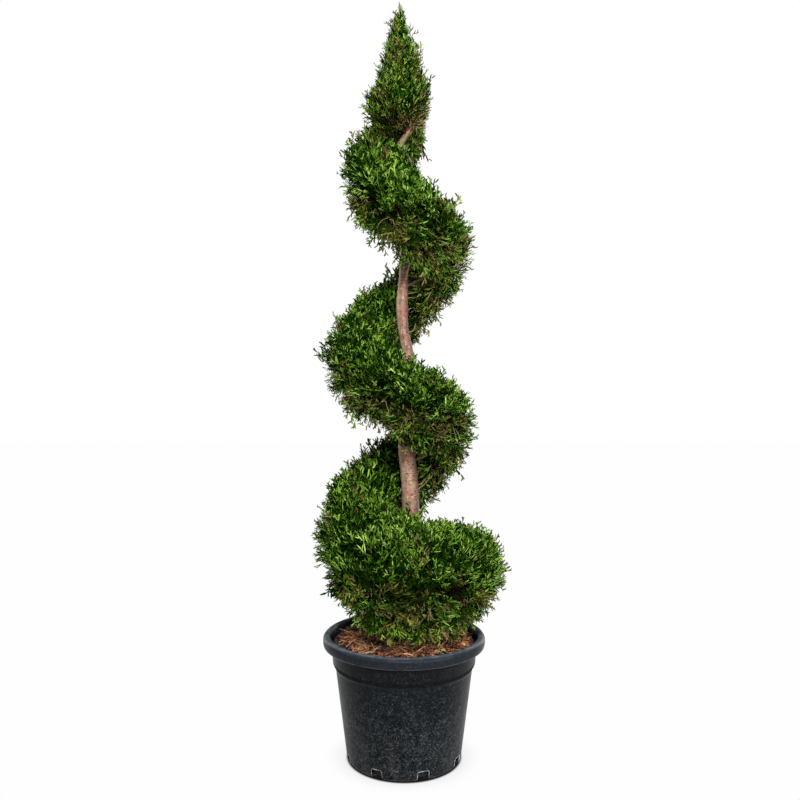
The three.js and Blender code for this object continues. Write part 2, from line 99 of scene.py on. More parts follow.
# %% Sockets as numbers
class Wire:
    """One output socket, on which + - * and ** can be written."""

    def __init__(self, nodes, socket):
        self.nodes = nodes
        self.socket = socket

    def math(self, operation, first, second=None):
        return self.nodes.add("ShaderNodeMath", {"operation": operation}, [first, second])

    def __add__(self, other):
        return self.math("ADD", self, other)

    def __sub__(self, other):
        return self.math("SUBTRACT", self, other)

    def __rsub__(self, other):
        return self.math("SUBTRACT", other, self)

    def __mul__(self, other):
        return self.math("MULTIPLY", self, other)

    def __pow__(self, other):
        return self.math("POWER", self, other)

    __radd__ = __add__
    __rmul__ = __mul__


print("sockets can be added and multiplied")

# %% Nodes of a tree
class Nodes:
    """A node tree that is filled by add()."""

    def __init__(self, tree):
        self.tree = tree

    def add(self, kind, settings=None, inputs=(), output=0):
        node = self.tree.nodes.new(kind)
        for key, value in (settings or {}).items():
            setattr(node, key, value)
        pairs = inputs.items() if isinstance(inputs, dict) else enumerate(inputs)
        for key, value in pairs:
            if isinstance(value, Wire):
                self.tree.links.new(value.socket, node.inputs[key])
            elif value is not None:
                node.inputs[key].default_value = value
        return Wire(self, node.outputs[output])

    def mix(self, factor, first, second):
        first, second = ((*c, 1) if isinstance(c, tuple) else c for c in (first, second))
        return self.add("ShaderNodeMix", {"data_type": "RGBA"}, {0: factor, 6: first, 7: second}, 2)

    def ramp(self, value, low, high):
        """0 below low, 1 above high, smooth between."""
        settings = {"interpolation_type": "SMOOTHSTEP"}
        return self.add("ShaderNodeMapRange", settings, [value, low, high, 0.0, 1.0])

    def attribute(self, name, kind="FLOAT"):
        """What the points or faces of a mesh carry under that name, in a geometry tree."""
        return self.add("GeometryNodeInputNamedAttribute", {"data_type": kind}, {"Name": name})

    def equal(self, name, number):
        """Where that attribute is that number."""
        settings = {"data_type": "FLOAT", "operation": "EQUAL"}
        inputs = {0: self.attribute(name), 1: float(number), 12: 0.1}
        return self.add("FunctionNodeCompare", settings, inputs)


print("a tree is filled by add(), mix() and ramp()")

# %% A finish
class Finish(Nodes):
    """A material with one Principled shader, whose patterns sit on Object coordinates."""

    def __init__(self, name):
        self.material = bpy.data.materials.new(name)
        self.material.use_nodes = True
        super().__init__(self.material.node_tree)
        self.shader = self.tree.nodes["Principled BSDF"]
        self.place = None
        self.colour = None

    def at(self, scale=(1, 1, 1)):
        """Object coordinates, stretched by scale."""
        if self.place is None:
            self.place = self.add("ShaderNodeTexCoord", output="Object")
        return self.add("ShaderNodeMapping", None, {"Vector": self.place, "Scale": scale})

    def height(self):
        return self.add("ShaderNodeSeparateXYZ", None, [self.at()], 2)

    def noise(self, scale, detail=4.0, stretch=(1, 1, 1), rough=0.55):
        inputs = {"Vector": self.at(stretch), "Scale": scale, "Detail": detail, "Roughness": rough}
        return self.add("ShaderNodeTexNoise", None, inputs)

    def patches(self, scale, detail, low, high, stretch=(1, 1, 1)):
        """Spots of a noise, 0 outside and 1 inside."""
        return self.ramp(self.noise(scale, detail, stretch), low, high)

    def zone(self, value, rise, fall):
        """1 between two ramps of a value, each given as where it is 0 and where it is 1."""
        return self.ramp(value, *rise) * self.ramp(value, *fall)

    def dots(self, scale, stretch=(1, 1, 1), output=0):
        """Distance to the nearest of many scattered points, or the colour of its cell."""
        inputs = {"Vector": self.at(stretch), "Scale": scale}
        return self.add("ShaderNodeTexVoronoi", {"feature": "F1"}, inputs, output)

    def coat(self, mask, colour):
        """Lay a colour over the ones before it, as strongly as the mask says."""
        self.colour = self.mix(mask, self.colour, colour)

    def set(self, **sockets):
        for key, value in sockets.items():
            socket = self.shader.inputs[key.replace("_", " ").title().replace("Ior", "IOR")]
            if isinstance(value, Wire):
                self.tree.links.new(value.socket, socket)
            else:
                socket.default_value = (*value, 1) if isinstance(value, tuple) else value
        return self.material

    def bump(self, height, distance, strength=1.0):
        inputs = {"Height": height, "Distance": distance, "Strength": strength}
        return self.add("ShaderNodeBump", None, inputs)


print("a finish is laid on in coats")

# %% [markdown]
# ## Meshes from arrays
# Sprays, bark and mulch are computed as numpy arrays. `mesh_piece` turns points and
# faces into an object at the origin, with its place in its mesh, as the frame wants.
# `mark` stores numbers on its points or faces, where node trees find them by name.

# %% Mesh helpers
def mesh_piece(name, points, faces, materials=(), smooth=True, edges=()):
    mesh = bpy.data.meshes.new(name)
    mesh.from_pydata(np.asarray(points).tolist(), list(edges), [tuple(f) for f in faces])
    for material in materials:
        mesh.materials.append(material)
    mesh.polygons.foreach_set("use_smooth", np.full(len(mesh.polygons), smooth))
    mesh.update()
    piece = bpy.data.objects.new(name, mesh)
    bpy.context.collection.objects.link(piece)
    return piece


def mark(piece, name, values, kind="FLOAT", domain="POINT"):
    layer = piece.data.attributes.new(name, kind, domain)
    values = np.asarray(values, np.int32 if kind == "INT" else np.float32)
    layer.data.foreach_set("vector" if kind == "FLOAT_VECTOR" else "value", values.ravel())


def grid_faces(rows, columns):
    """Quads of a grid of points whose columns join up in a ring."""
    faces = []
    for low in range(0, (rows - 1) * columns, columns):
        high = low + columns
        for j in range(columns):
            k = (j + 1) % columns
            faces.append((low + j, low + k, high + k, high + j))
    return faces


def baked(piece):
    """The piece with its modifiers turned into plain mesh."""
    graph = bpy.context.evaluated_depsgraph_get()
    mesh = bpy.data.meshes.new_from_object(piece.evaluated_get(graph))
    piece.modifiers.clear()
    old = piece.data
    piece.data = mesh
    mesh.name = piece.name
    bpy.data.meshes.remove(old)
    return piece


def shelf(name, pieces):
    """A collection of shapes to scatter, kept out of the scene itself."""
    collection = bpy.data.collections.new(name)
    for piece in pieces:
        bpy.context.collection.objects.unlink(piece)
        collection.objects.link(piece)
    return collection


def unit(vectors):
    return vectors / np.maximum(np.linalg.norm(vectors, axis=-1, keepdims=True), 1e-9)


def level(bearing):
    """Level unit vectors that point along each bearing."""
    return np.stack([np.cos(bearing), np.sin(bearing), 0 * bearing], axis=-1)


print("mesh helpers ready")

# %% [markdown]
# ## The spiral's rule
# The clipped band is a section carried down a left-handed helix round the trunk. A few
# rows give the height of its middle, its reach and half its depth at some turns, and a
# smooth curve runs through them. The solids of the frame follow the same rule with
# nearly the same rows, so what grows here fills the same space.

# %% Sizes of the plant
TRUNK = np.array([
    (292, 4, 0, 23.5), (400, 10, -2, 23), (500, 14, -3, 22.5), (622, 16.5, -2, 22),
    (700, 12, 0, 21.2), (760, 7, 2, 20.5), (900, 8, 2, 17), (1010, 7.5, 0, 14.5),
    (1064, -2.5, -1, 13.2), (1114, -5, -2, 15), (1194, -1, 0, 11.5), (1300, 4, 2, 10.5),
    (1400, 18, 4, 9.6), (1463, 21, 4, 9), (1496, 2, 0, 9.8), (1520, -9, -2, 10.6), (1538, 2, 0, 10.2),
    (1556, 13, 0, 8.8), (1590, 17, 0, 6.6), (1625, 10, 0, 5.4), (1700, 0, 0, 4.5), (1880, -12, 0, 0.8),
]) * MM                          # height, x, y, radius
COIL = np.array([
    (-0.50, 1606, 30, 104), (-0.25, 1564, 88, 106), (0.00, 1437, 167, 112), (0.25, 1316, 168, 107),
    (0.50, 1246, 174, 100), (0.64, 1183, 174, 119), (0.80, 1087, 190, 128), (1.00, 982, 207, 119),
    (1.25, 881, 190, 105), (1.50, 812, 176, 104), (1.64, 736, 166, 128), (1.80, 658, 192, 137),
    (2.00, 551, 225, 150), (2.25, 473, 248, 149), (2.50, 457, 250, 115), (2.80, 426, 237, 82),
]) * (1, MM, MM, MM)             # turn, height, reach, half depth
COIL_START, COIL_END, END_ROUND = -0.6, 2.82, 0.07
TRUNK_FOLLOW = 0.5               # how far the band's middle line follows the trunk's bends
CLIP_INNER = 22 * MM             # where the band begins, from its middle line
SQUARE = 0.96                    # below 1, the section is a little squarer than an ellipse
UNDERCUT = 0.17                  # how much narrower the section is at its bottom
MASSES = ["right0", "back0", "left1", "front1", "right1", "back1", "left2", "front2",
          "right2", "back2", "left3", "front3", "right3", "back3"]
FIRST_TURN, MASS_TURNS = -0.625, 0.25
CROWN = np.array([(1548, 30), (1568, 56), (1592, 72), (1620, 78), (1650, 70), (1683, 60), (1746, 46),
                  (1785, 34), (1812, 26), (1838, 15), (1862, 7), (1880, 1)]) * MM
CROWN_FOOT = 1592 * MM
CROWN_LEAN = np.array([(1560, -24), (1592, -20), (1640, -16), (1700, -8), (1760, -7),
                       (1820, -12), (1880, -12)]) * MM
SOIL_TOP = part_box("trunk")[0].z
print("plant stands", round(cad_high.z - SOIL_TOP, 3), "m above its compost")

# %% The trunk's line
def smooth(rows, column, x):
    """Curve through rows of (x, value, ...), with the mean of the slopes beside each row."""
    xs, ys = rows[:, 0], rows[:, column]
    slopes = np.diff(ys) / np.diff(xs)
    tangents = np.concatenate([slopes[:1], (slopes[:-1] + slopes[1:]) / 2, slopes[-1:]])
    at = np.clip(x, xs[0], xs[-1])
    i = np.clip(np.searchsorted(xs, at, side="left") - 1, 0, len(xs) - 2)
    span = xs[i + 1] - xs[i]
    t = (at - xs[i]) / span
    value = (1 + 2 * t) * (1 - t) ** 2 * ys[i] + t * t * (3 - 2 * t) * ys[i + 1]
    return value + span * (t * (1 - t) ** 2 * tangents[i] + t * t * (t - 1) * tangents[i + 1])


def trunk_at(z):
    return np.stack([smooth(TRUNK, 1, z), smooth(TRUNK, 2, z), z + 0 * z], axis=-1)


def trunk_radius(z):
    return np.interp(z, TRUNK[:, 0], TRUNK[:, 3])


def near_trunk(points, clear):
    away = points - trunk_at(points[..., 2])
    return np.hypot(away[..., 0], away[..., 1]) < trunk_radius(points[..., 2]) + clear


print("trunk at the soil:", trunk_at(SOIL_TOP).round(3), "radius", trunk_radius(SOIL_TOP).round(4))

# %% The band's rule
def section_at(turn):
    """Middle, reach and half depth of the band at each turn, with rounded ends."""
    z = smooth(COIL, 1, turn)
    to_end = np.clip(np.minimum(turn - COIL_START, COIL_END - turn) / END_ROUND, 0, 1)
    rounded = np.sqrt(1 - (1 - to_end) ** 2)
    axis = trunk_at(z) * (TRUNK_FOLLOW, TRUNK_FOLLOW, 0)
    return {"z": z, "bearing": math.pi + turn * TURN, "outer": smooth(COIL, 2, turn),
            "half": smooth(COIL, 3, turn) * rounded, "axis": axis, "rounded": rounded}


def bulge(value):
    return np.sign(value) * np.abs(value) ** SQUARE


def band_point(turn, angle, depth):
    """Point of the band's clipped surface, or that far inside it. Angle 0 points away
    from the trunk and a quarter turn points up."""
    s = section_at(turn)
    up = bulge(np.sin(angle))
    out = bulge(np.cos(angle)) * (1 - UNDERCUT * np.maximum(0, -up))
    half_width = (s["outer"] - CLIP_INNER) / 2
    shrink = 1 - np.minimum(depth / np.minimum(half_width, np.maximum(s["half"], MM)), 0.85)
    r = (s["outer"] + CLIP_INNER) / 2 + half_width * s["rounded"] * shrink * out
    high = s["half"] * shrink * up
    ring = np.stack([np.cos(s["bearing"]) * r, np.sin(s["bearing"]) * r, s["z"] + high], axis=-1)
    return ring + s["axis"]


def band_middle(turn):
    """Points deep in the band, where the stem of its twigs runs."""
    return band_point(turn, 0 * turn, 1.0 + 0 * turn)


def band_depth(points, turn):
    """How far points lie outside the clipped surface, in metres; inside is negative."""
    own = np.arctan2(points[..., 1], points[..., 0]) / TURN - 0.5
    near = own + np.round(turn - own)
    s = section_at(np.clip(near, COIL_START, COIL_END))
    r = np.hypot(points[..., 0] - s["axis"][..., 0], points[..., 1] - s["axis"][..., 1])
    middle = (s["outer"] + CLIP_INNER) / 2
    wide = (s["outer"] - CLIP_INNER) / 2
    drop = (points[..., 2] - s["z"]) / np.maximum(s["half"], 5 * MM)
    cut = 1 - UNDERCUT * np.clip(-drop, 0, 1)
    share = np.hypot((r - middle) / (wide * cut), drop)
    return np.hypot(r - middle, points[..., 2] - s["z"]) * (1 - 1 / np.maximum(share, 1e-3))


print("band at the front:", band_point(np.array([0.25]), np.array([0.0]), np.array([0.0])).round(3))

# %% The crown's outline
def crown_radius(z):
    return np.interp(z, CROWN[:, 0], CROWN[:, 1])


def crown_axis(z):
    return np.stack([np.interp(z, CROWN_LEAN[:, 0], CROWN_LEAN[:, 1]), 0 * z, z], axis=-1)


print("crown at its foot:", crown_axis(CROWN_FOOT).round(3), "radius", crown_radius(CROWN_FOOT).round(4))

# %% [markdown]
# ## Tints of the foliage
# Living scale leaves are mid green, olive below, with a few dead brown sprays. Sprays
# that stand out and face up take fresher, lighter tints, partly fresh growth and partly
# painted light, and those deep inside take the deep tint, as painted shade. Each spray
# takes one tint of three plain base colours: one for its stem, one for its shoots and
# one for its tips. The stem colour is near black, as painted shade inside the spray.

# %% Leaf finishes
# The stem colour of each tint is near black, as painted shade inside the spray; the tip colour is
# lighter, partly fresh growth and partly painted light.
TINTS = {
    "deep": ((0.0014, 0.006, 0.0005), (0.004, 0.016, 0.0007), (0.012, 0.040, 0.001)),
    "mid": ((0.002, 0.007, 0.0004), (0.008, 0.025, 0.0010), (0.080, 0.185, 0.011)),
    "fresh": ((0.003, 0.010, 0.0005), (0.021, 0.058, 0.003), (0.205, 0.370, 0.036)),
    "bright": ((0.006, 0.017, 0.001), (0.042, 0.092, 0.006), (0.300, 0.465, 0.078)),
    "olive": ((0.012, 0.011, 0.002), (0.046, 0.042, 0.007), (0.185, 0.180, 0.036)),
    "dead": ((0.040, 0.024, 0.010), (0.100, 0.062, 0.026), (0.190, 0.125, 0.060)),
}
DEEP_SHADE, MID, FRESH, BRIGHT_LIT, OLIVE, DEAD = range(len(TINTS))
LEAF_SHEEN = 0.24                # only of light leaves; dark ones are nearly matt


def leaf_finish(name, colour):
    sheen = LEAF_SHEEN if colour[1] > 0.10 else LEAF_SHEEN / 20
    return Finish(name).set(base_color=colour, roughness=0.38, specular_ior_level=sheen)


leaf_finishes = [[leaf_finish(f"leaf_{tint}_{part}", colour)
                  for part, colour in zip(("body", "shoot", "tips"), colours)]
                 for tint, colours in TINTS.items()]
# Near-black twigs inside the masses: painted shade.
shaded_twig_finish = Finish("twig_shade").set(base_color=(0.026, 0.015, 0.006), roughness=0.9,
                                       specular_ior_level=0.05)
stem_finish = Finish("twig_bark").set(base_color=(0.275, 0.205, 0.110), roughness=0.7)
fork_finish = Finish("twig_red").set(base_color=(0.340, 0.160, 0.095), roughness=0.7)
print(len(leaf_finishes), "tints, three colours each")

# %% [markdown]
# ## One spray
# A spray is a flat fern-like fan: a stem with branchlets left and right in turn, and
# small side leaves on each. Every part is a folded strip of two quads, so that it
# catches light like a rounded branchlet. Eight seeded shapes are enough, six full and
# two plainer, because each one is turned and sized anew where it grows.

# %% A folded leaf
def finger(root, heading, across, length, width, fold):
    """Six points of a folded strip: root, two down one side, tip, two back up."""
    drop = np.cross(across, heading) * fold
    low, high = root + heading * length * 0.28, root + heading * length * 0.76
    side = across * width / 2 * 0.9
    return [root, low + side + drop, high + side + drop, root + heading * length,
            high - side + drop, low - side + drop]


sample = finger(np.zeros(3), UP, np.array([1.0, 0, 0]), 1, 1, 0)
print("a folded leaf has", len(sample), "points")

# %% Spray shapes
SPRAY_LENGTH = 66 * MM
BRANCHLETS = 5
SHAPES = 6                       # full sprays, for the outside
PLAIN_SHAPES = 2                 # plainer ones, for the dark inside
LEAF_WIDTH = {"elbow": 3.4, "tip": 3.5, "fork": 3.1, "side": 3.3}


def spray_shape(index, fingers, forks):
    """A spray whose branchlets each have that many side leaves and end forks."""
    rng = np.random.default_rng(SEED + index)
    points, tips = [], []
    bend, cup = rng.normal(0, 0.30), rng.normal(0, 0.24)

    def stem_at(t):
        return np.array([bend * t * t * 0.6, cup * t * t, t]) * SPRAY_LENGTH

    def leaf(root, heading, length, width, tip):
        """A folded leaf. One of its halves, or neither, takes the colour one step below what tip says,
        as painted shade on one side of its fold.
        """
        heading = heading / np.linalg.norm(heading)
        face = np.array([rng.normal(0, 0.55), -1, rng.normal(0, 0.55)])
        across = np.cross(face, heading)
        across /= np.linalg.norm(across)
        fold = width * rng.uniform(0.25, 0.55)
        points.extend(finger(root, heading, across, length, width, fold))
        shaded_half = rng.integers(0, 3)
        tips.extend([max(tip - (shaded_half == half), 0) for half in (0, 1)])
        return root + heading * length

    # From the foot outwards the stem's parts take the stem, shoot and tip colours: painted shade at the
    # foot, lighter towards the end.
    marks = (0, 0.34, 0.68, 1.0)
    for k in range(3):
        step = stem_at(marks[k + 1]) - stem_at(marks[k])
        leaf(stem_at(marks[k]), step, np.linalg.norm(step) * 1.12, (3.0 + k * 0.4) * MM, k)
    for i in range(BRANCHLETS):
        t = 0.12 + 0.76 * i / (BRANCHLETS - 1) + rng.normal(0, 0.025)
        side = 1 if i % 2 else -1
        spread = math.radians(rng.uniform(34, 60))
        length = SPRAY_LENGTH * (0.60 - 0.32 * t) * rng.uniform(0.75, 1.2)
        tilt = rng.normal(0, 0.26)

        def towards(turn, wander=0):
            return np.array([side * math.sin(turn), tilt + wander, math.cos(turn)])

        foot = stem_at(t)
        elbow = leaf(foot, towards(spread), length * 0.56, LEAF_WIDTH["elbow"] * MM, min(i, 1))
        spread *= rng.uniform(0.1, 0.8)
        heading = towards(spread)
        leaf(elbow - heading * 1.5 * MM, heading, length * 0.72, LEAF_WIDTH["tip"] * MM, 2)
        for k in range(forks):
            turn = spread + (1 if k else -1) * math.radians(rng.uniform(30, 55)) * side
            small = towards(turn, rng.normal(0, 0.3))
            start = elbow + heading * length * (0.18 + 0.14 * k)
            leaf(start, small, length * rng.uniform(0.34, 0.50), LEAF_WIDTH["fork"] * MM, 2)
        for k in range(fingers):
            turn = spread + (-1 if k else 1) * math.radians(rng.uniform(32, 52)) * side
            small = towards(turn, rng.normal(0, 0.25))
            start = foot + (elbow - foot) * (0.5 + 0.32 * k)
            leaf(start, small, length * rng.uniform(0.50, 0.74), LEAF_WIDTH["side"] * MM, 1 + k)
    faces = [tuple(6 * k + corner for corner in half) for k in range(len(points) // 6)
             for half in ((0, 1, 2, 3), (0, 3, 4, 5))]
    piece = mesh_piece(f"spray_shape_{index}", points, faces, smooth=False)
    mark(piece, "tip", tips, domain="FACE")
    return piece


shape_shelf = shelf("spray_shapes", [spray_shape(k, 2, 2) if k < SHAPES else spray_shape(k, 1, 0)
                                     for k in range(SHAPES + PLAIN_SHAPES)])

# %% [markdown]
# ## Growing shapes on points
# A Geometry Nodes tree puts a shape on each point of a mesh. The point carries the
# shape's rotation, size, number and tint as attributes. The tree ends in Realize
# Instances and a row of Set Material nodes that deal the tints out by point, and the
# colours of a tint by the faces' own marks.

# %% Beginning and end of a tree
def new_tree(name, **inputs):
    """An empty geometry tree with Geometry in and out, and more named inputs."""
    tree = bpy.data.node_groups.new(name, "GeometryNodeTree")
    for label, kind in {"Geometry": "NodeSocketGeometry", **inputs}.items():
        tree.interface.new_socket(label.replace("_", " "), in_out="INPUT", socket_type=kind)
    tree.interface.new_socket("Geometry", in_out="OUTPUT", socket_type="NodeSocketGeometry")
    nodes = Nodes(tree)
    entry = tree.nodes.new("NodeGroupInput")
    return nodes, {socket.name: Wire(nodes, socket) for socket in entry.outputs if socket.name}


def end_tree(nodes, geometry):
    exit_node = nodes.tree.nodes.new("NodeGroupOutput")
    nodes.tree.links.new(geometry.socket, exit_node.inputs[0])
    return nodes.tree


def set_inputs(piece, tree, values):
    """A Nodes modifier whose inputs are set by their sockets' identifiers."""
    modifier = piece.modifiers.new(tree.name, "NODES")
    modifier.node_group = tree
    for item in tree.interface.items_tree:
        if item.item_type == "SOCKET" and item.in_out == "INPUT" and item.name in values:
            modifier[item.identifier] = values[item.name]


print("trees can be begun, ended and set")

# %% The scatter tree
def scatter_tree(name, tints):
    """Grows a shape on each point. Each tint is one finish, or one for each mark."""
    nodes, wires = new_tree(name, Shapes="NodeSocketCollection")
    shapes = nodes.add("GeometryNodeCollectionInfo", None, {
        "Collection": wires["Shapes"], "Separate Children": True, "Reset Children": True})
    placed = nodes.add("GeometryNodeInstanceOnPoints", None, {
        "Points": wires["Geometry"], "Instance": shapes, "Pick Instance": True,
        "Instance Index": nodes.attribute("shape", "INT"),
        "Rotation": nodes.attribute("turned", "FLOAT_VECTOR"), "Scale": nodes.attribute("size")})
    whole = nodes.add("GeometryNodeRealizeInstances", None, [placed])
    for k, finishes in enumerate(tints):
        own_tint = nodes.equal("tint", k)
        for part, finish in enumerate(finishes):
            where = own_tint
            if len(finishes) > 1:
                both = [own_tint, nodes.equal("tip", part)]
                where = nodes.add("FunctionNodeBooleanMath", {"operation": "AND"}, both)
            whole = nodes.add("GeometryNodeSetMaterial", None, [whole, where, finish])
    return end_tree(nodes, whole)


SPRAY_TREE = scatter_tree("grow sprays", leaf_finishes)
print("spray tree has", len(SPRAY_TREE.nodes), "nodes")

# %% Shapes at their places
PLACE_KINDS = {"turned": "FLOAT_VECTOR", "size": "FLOAT", "shape": "INT", "tint": "FLOAT"}


def grown(name, tree, shapes, places):
    """A plain mesh piece of the shapes grown by the tree at their places."""
    piece = mesh_piece(name, places["root"], [])
    for key, kind in PLACE_KINDS.items():
        mark(piece, key, places[key], kind)
    set_inputs(piece, tree, {"Shapes": shapes})
    baked(piece)
    for key in (*PLACE_KINDS, "tip"):
        if key in piece.data.attributes:
            piece.data.attributes.remove(piece.data.attributes[key])
    return piece


def turned_from(heading, side):
    """Euler angles of frames whose Z is heading and whose X is close to side."""
    z = heading / np.linalg.norm(heading, axis=1, keepdims=True)
    y = np.cross(z, side)
    y /= np.maximum(np.linalg.norm(y, axis=1, keepdims=True), 1e-9)
    x = np.cross(y, z)
    return np.stack([np.arctan2(y[:, 2], z[:, 2]), -np.arcsin(np.clip(x[:, 2], -1, 1)),
                     np.arctan2(x[:, 1], x[:, 0])], axis=1)


def spray_places(root, heading, side, size, shape, tint, kept=slice(None)):
    """What the spray tree needs for the sprays that are kept."""
    turned = turned_from(heading, side)
    places = {"root": root, "turned": turned, "size": size, "shape": shape, "tint": tint}
    return {key: value[kept] for key, value in places.items()}


print("a place has a root and", ", ".join(PLACE_KINDS))

# %% [markdown]
# ## Where the sprays grow
# The solids carry one tuft on each cell of an even grid over the band. Here the grid is
# much finer, each small cell takes a twig, and each twig ends in a fan of sprays. Their
# lengths are trimmed so that the tips end at the clipped surface, give or take the
# shears. Fewer cells are kept near the trunk, where nobody looks.

# %% Cells of the band
CELL = 27 * MM


def mass_turns(index):
    start = FIRST_TURN + index * MASS_TURNS
    return max(start, COIL_START + 0.01), min(start + MASS_TURNS, COIL_END - 0.01)


def band_cells(index, rng):
    """Turn and angle of each small cell of a mass, evenly spread over its surface."""
    start, stop = mass_turns(index)
    middle = section_at(np.array([(start + stop) / 2]))
    outer, half = middle["outer"][0], middle["half"][0]
    wide = (outer - CLIP_INNER) / 2
    rows = max(9, round(math.pi * (half + wide) / CELL))
    columns = max(6, round((stop - start) * TURN * outer * 0.9 / CELL))
    i, j = np.meshgrid(np.arange(columns), np.arange(rows), indexing="ij")
    i, j = i.ravel(), j.ravel()
    turn = start + (stop - start) * (i + 0.5 + rng.uniform(-0.45, 0.45, i.size)) / columns
    sweep = np.linspace(-math.pi, math.pi, 361)
    along = np.cumsum(np.hypot(wide * np.sin(sweep), half * np.cos(sweep)))
    share = (j + 0.5 * (i % 2) + rng.uniform(-0.45, 0.45, i.size)) / rows % 1
    angle = np.interp(share, (along - along[0]) / (along[-1] - along[0]), sweep)
    kept = rng.uniform(0, 1, i.size) < 1.15 - 0.55 * np.clip(-np.cos(angle) + 0.2, 0, 1)
    return turn[kept], angle[kept]


print("cells of the lowest front mass:", len(band_cells(11, np.random.default_rng(SEED))[0]))

# %% Shapes and tints by place
def shapes_for(rng, inner):
    """A plain shape for each inner spray and a full one for each outer spray."""
    plain = SHAPES + rng.integers(0, PLAIN_SHAPES, inner.size)
    return np.where(inner, plain, rng.integers(0, SHAPES, inner.size))


def deal_tints(rng, painted_light, mood, below):
    """A tint for each spray: the more painted light, the lighter its tint, so that sprays that stand out
    and face up are painted lit and deep ones painted shaded; olive and dead where below.
    """
    score = rng.normal(0, 0.24, painted_light.size) + painted_light * 0.06 + mood * 0.54 + 0.13
    tint = np.digitize(score, [0.27, 0.55, 0.84]).astype(float)
    odd = rng.uniform(0, 1, painted_light.size)
    tint[odd < 0.05 + 0.58 * below] = OLIVE
    tint[odd < 0.003 + 0.036 * below] = DEAD
    return tint


print("tints of five sprays:", deal_tints(np.random.default_rng(SEED), *np.full((3, 5), 0.5)))

# %% Sprays of a mass
SPRAYS_PER_CELL = 4
TWIG_DEPTH = (34, 52)            # of a twig's end below the surface, in mm
CELL_LEAN, OWN_LEAN = 0.46, 0.30  # how far sprays turn away from straight out
CUT_SHORT = 8.0                  # how unevenly the shears cut the cells, in mm
FACE_ON = 1.6                    # how far sprays lie along the surface
STRAY = 1 * MM                   # no tip stands out further than this


def band_sprays(index):
    """The places of a mass's sprays, and its cells with the ends of their twigs."""
    rng = np.random.default_rng(SEED + 1000 + index)
    cell_turn, cell_angle = band_cells(index, rng)
    below = np.clip(-np.sin(cell_angle), 0, 1)
    cell_depth = rng.uniform(*TWIG_DEPTH, cell_turn.size) * MM
    twig_end = band_point(cell_turn, cell_angle, cell_depth)
    outward = unit(band_point(cell_turn, cell_angle, 0 * cell_depth) - twig_end)
    cell_lean = rng.normal(0, CELL_LEAN, outward.shape)
    cell_roll = rng.normal(0, 1, outward.shape)
    cell_trim = 4 - rng.gamma(1.2, CUT_SHORT, cell_turn.size)
    cell_mood = rng.uniform(0, 1, cell_turn.size)

    keep = rng.uniform(0, 1, (cell_turn.size, SPRAYS_PER_CELL)) > 0.24 + below[:, None] * 0.08
    keep[:, 0] = True
    cell, layer = np.nonzero(keep)
    n = cell.size
    turn = cell_turn[cell] + rng.normal(0, 0.008, n)
    angle = cell_angle[cell] + rng.normal(0, 0.06, n)
    inner = layer == 0
    depth = cell_depth[cell] + rng.uniform(-8, 8, n) * MM + inner * 14 * MM
    root = band_point(turn, angle, depth)
    lift = UP * (0.95 - 0.80 * below[cell])[:, None]
    heading = unit(outward[cell] + cell_lean[cell] + lift + rng.normal(0, OWN_LEAN, (n, 3)))
    length = SPRAY_LENGTH * rng.uniform(0.85, 1.15, n)
    tip_out = band_depth(root + heading * length[:, None], turn)
    root_out = band_depth(root, turn)
    wanted = np.clip(rng.normal(-3.5, 4, n) + cell_trim[cell], -30, 5) * MM - inner * 20 * MM
    share = np.clip((wanted - root_out) / np.maximum(tip_out - root_out, 4 * MM), 0.30, 1.25)
    size = length / SPRAY_LENGTH * share
    tip = root + heading * (size * SPRAY_LENGTH)[:, None]
    clear = ~near_trunk(tip, 3 * MM) & ~near_trunk(root, 3 * MM) & (tip[:, 2] > SOIL_TOP + 4 * MM)
    clear &= (tip[:, 2] < cad_high.z) & (band_depth(tip, turn) < STRAY)
    flat = np.cross(outward[cell], heading)
    roll = unit(flat * FACE_ON + cell_roll[cell] * 0.35 + rng.normal(0, 0.35, (n, 3)))
    # Painted light and shade: sprays that face up and stand out take lighter tints, and those that sit
    # deeper take dim ones.
    upward = outward[cell, 2] * 0.5 + 0.5
    stands = np.clip(wanted / (10 * MM), -2.6, 0.4) * 0.27
    dry = 0.5 * below[cell] + 0.5 * np.clip(outward[cell, 1] * 2, 0, 1) * below[cell] ** 0.5
    tint = deal_tints(rng, upward + stands * 10.0 + 1.60, cell_mood[cell], dry)
    tint[inner] = np.where(below[cell] * rng.uniform(0.4, 1.6, n) > 0.5, OLIVE, DEEP_SHADE)[inner]
    places = spray_places(root, heading, roll, size, shapes_for(rng, inner), tint, clear)
    return places, {"turn": cell_turn, "angle": cell_angle, "out": outward, "end": twig_end}


print("sprays in the lowest front mass:", len(band_sprays(11)[0]["root"]))

# %% [markdown]
# ## Twigs
# A stem follows the middle of each mass, from its bough, and a forked twig runs from
# the stem to each cell. Below, thin pale stems with no leaves hang out of the cells, and
# a few bare twigs come straight from the trunk. All are polylines with a radius at each
# point, and one tree turns them into thin tubes.

# %% The twig tree
def twig_tree():
    nodes, wires = new_tree("twigs", Sides="NodeSocketInt", Finish="NodeSocketMaterial",
                            Pale_Finish="NodeSocketMaterial")
    curve = nodes.add("GeometryNodeMeshToCurve", None, [wires["Geometry"]])
    ring = {"Resolution": wires["Sides"], "Radius": 1.0}
    ring = nodes.add("GeometryNodeCurvePrimitiveCircle", None, ring)
    whole = nodes.add("GeometryNodeCurveToMesh", None, {
        "Curve": curve, "Profile Curve": ring, "Scale": nodes.attribute("radius"), "Fill Caps": True})
    whole = nodes.add("GeometryNodeSetMaterial", None, [whole, True, wires["Finish"]])
    pale = nodes.equal("pale", 1)
    whole = nodes.add("GeometryNodeSetMaterial", None, [whole, pale, wires["Pale Finish"]])
    return end_tree(nodes, whole)


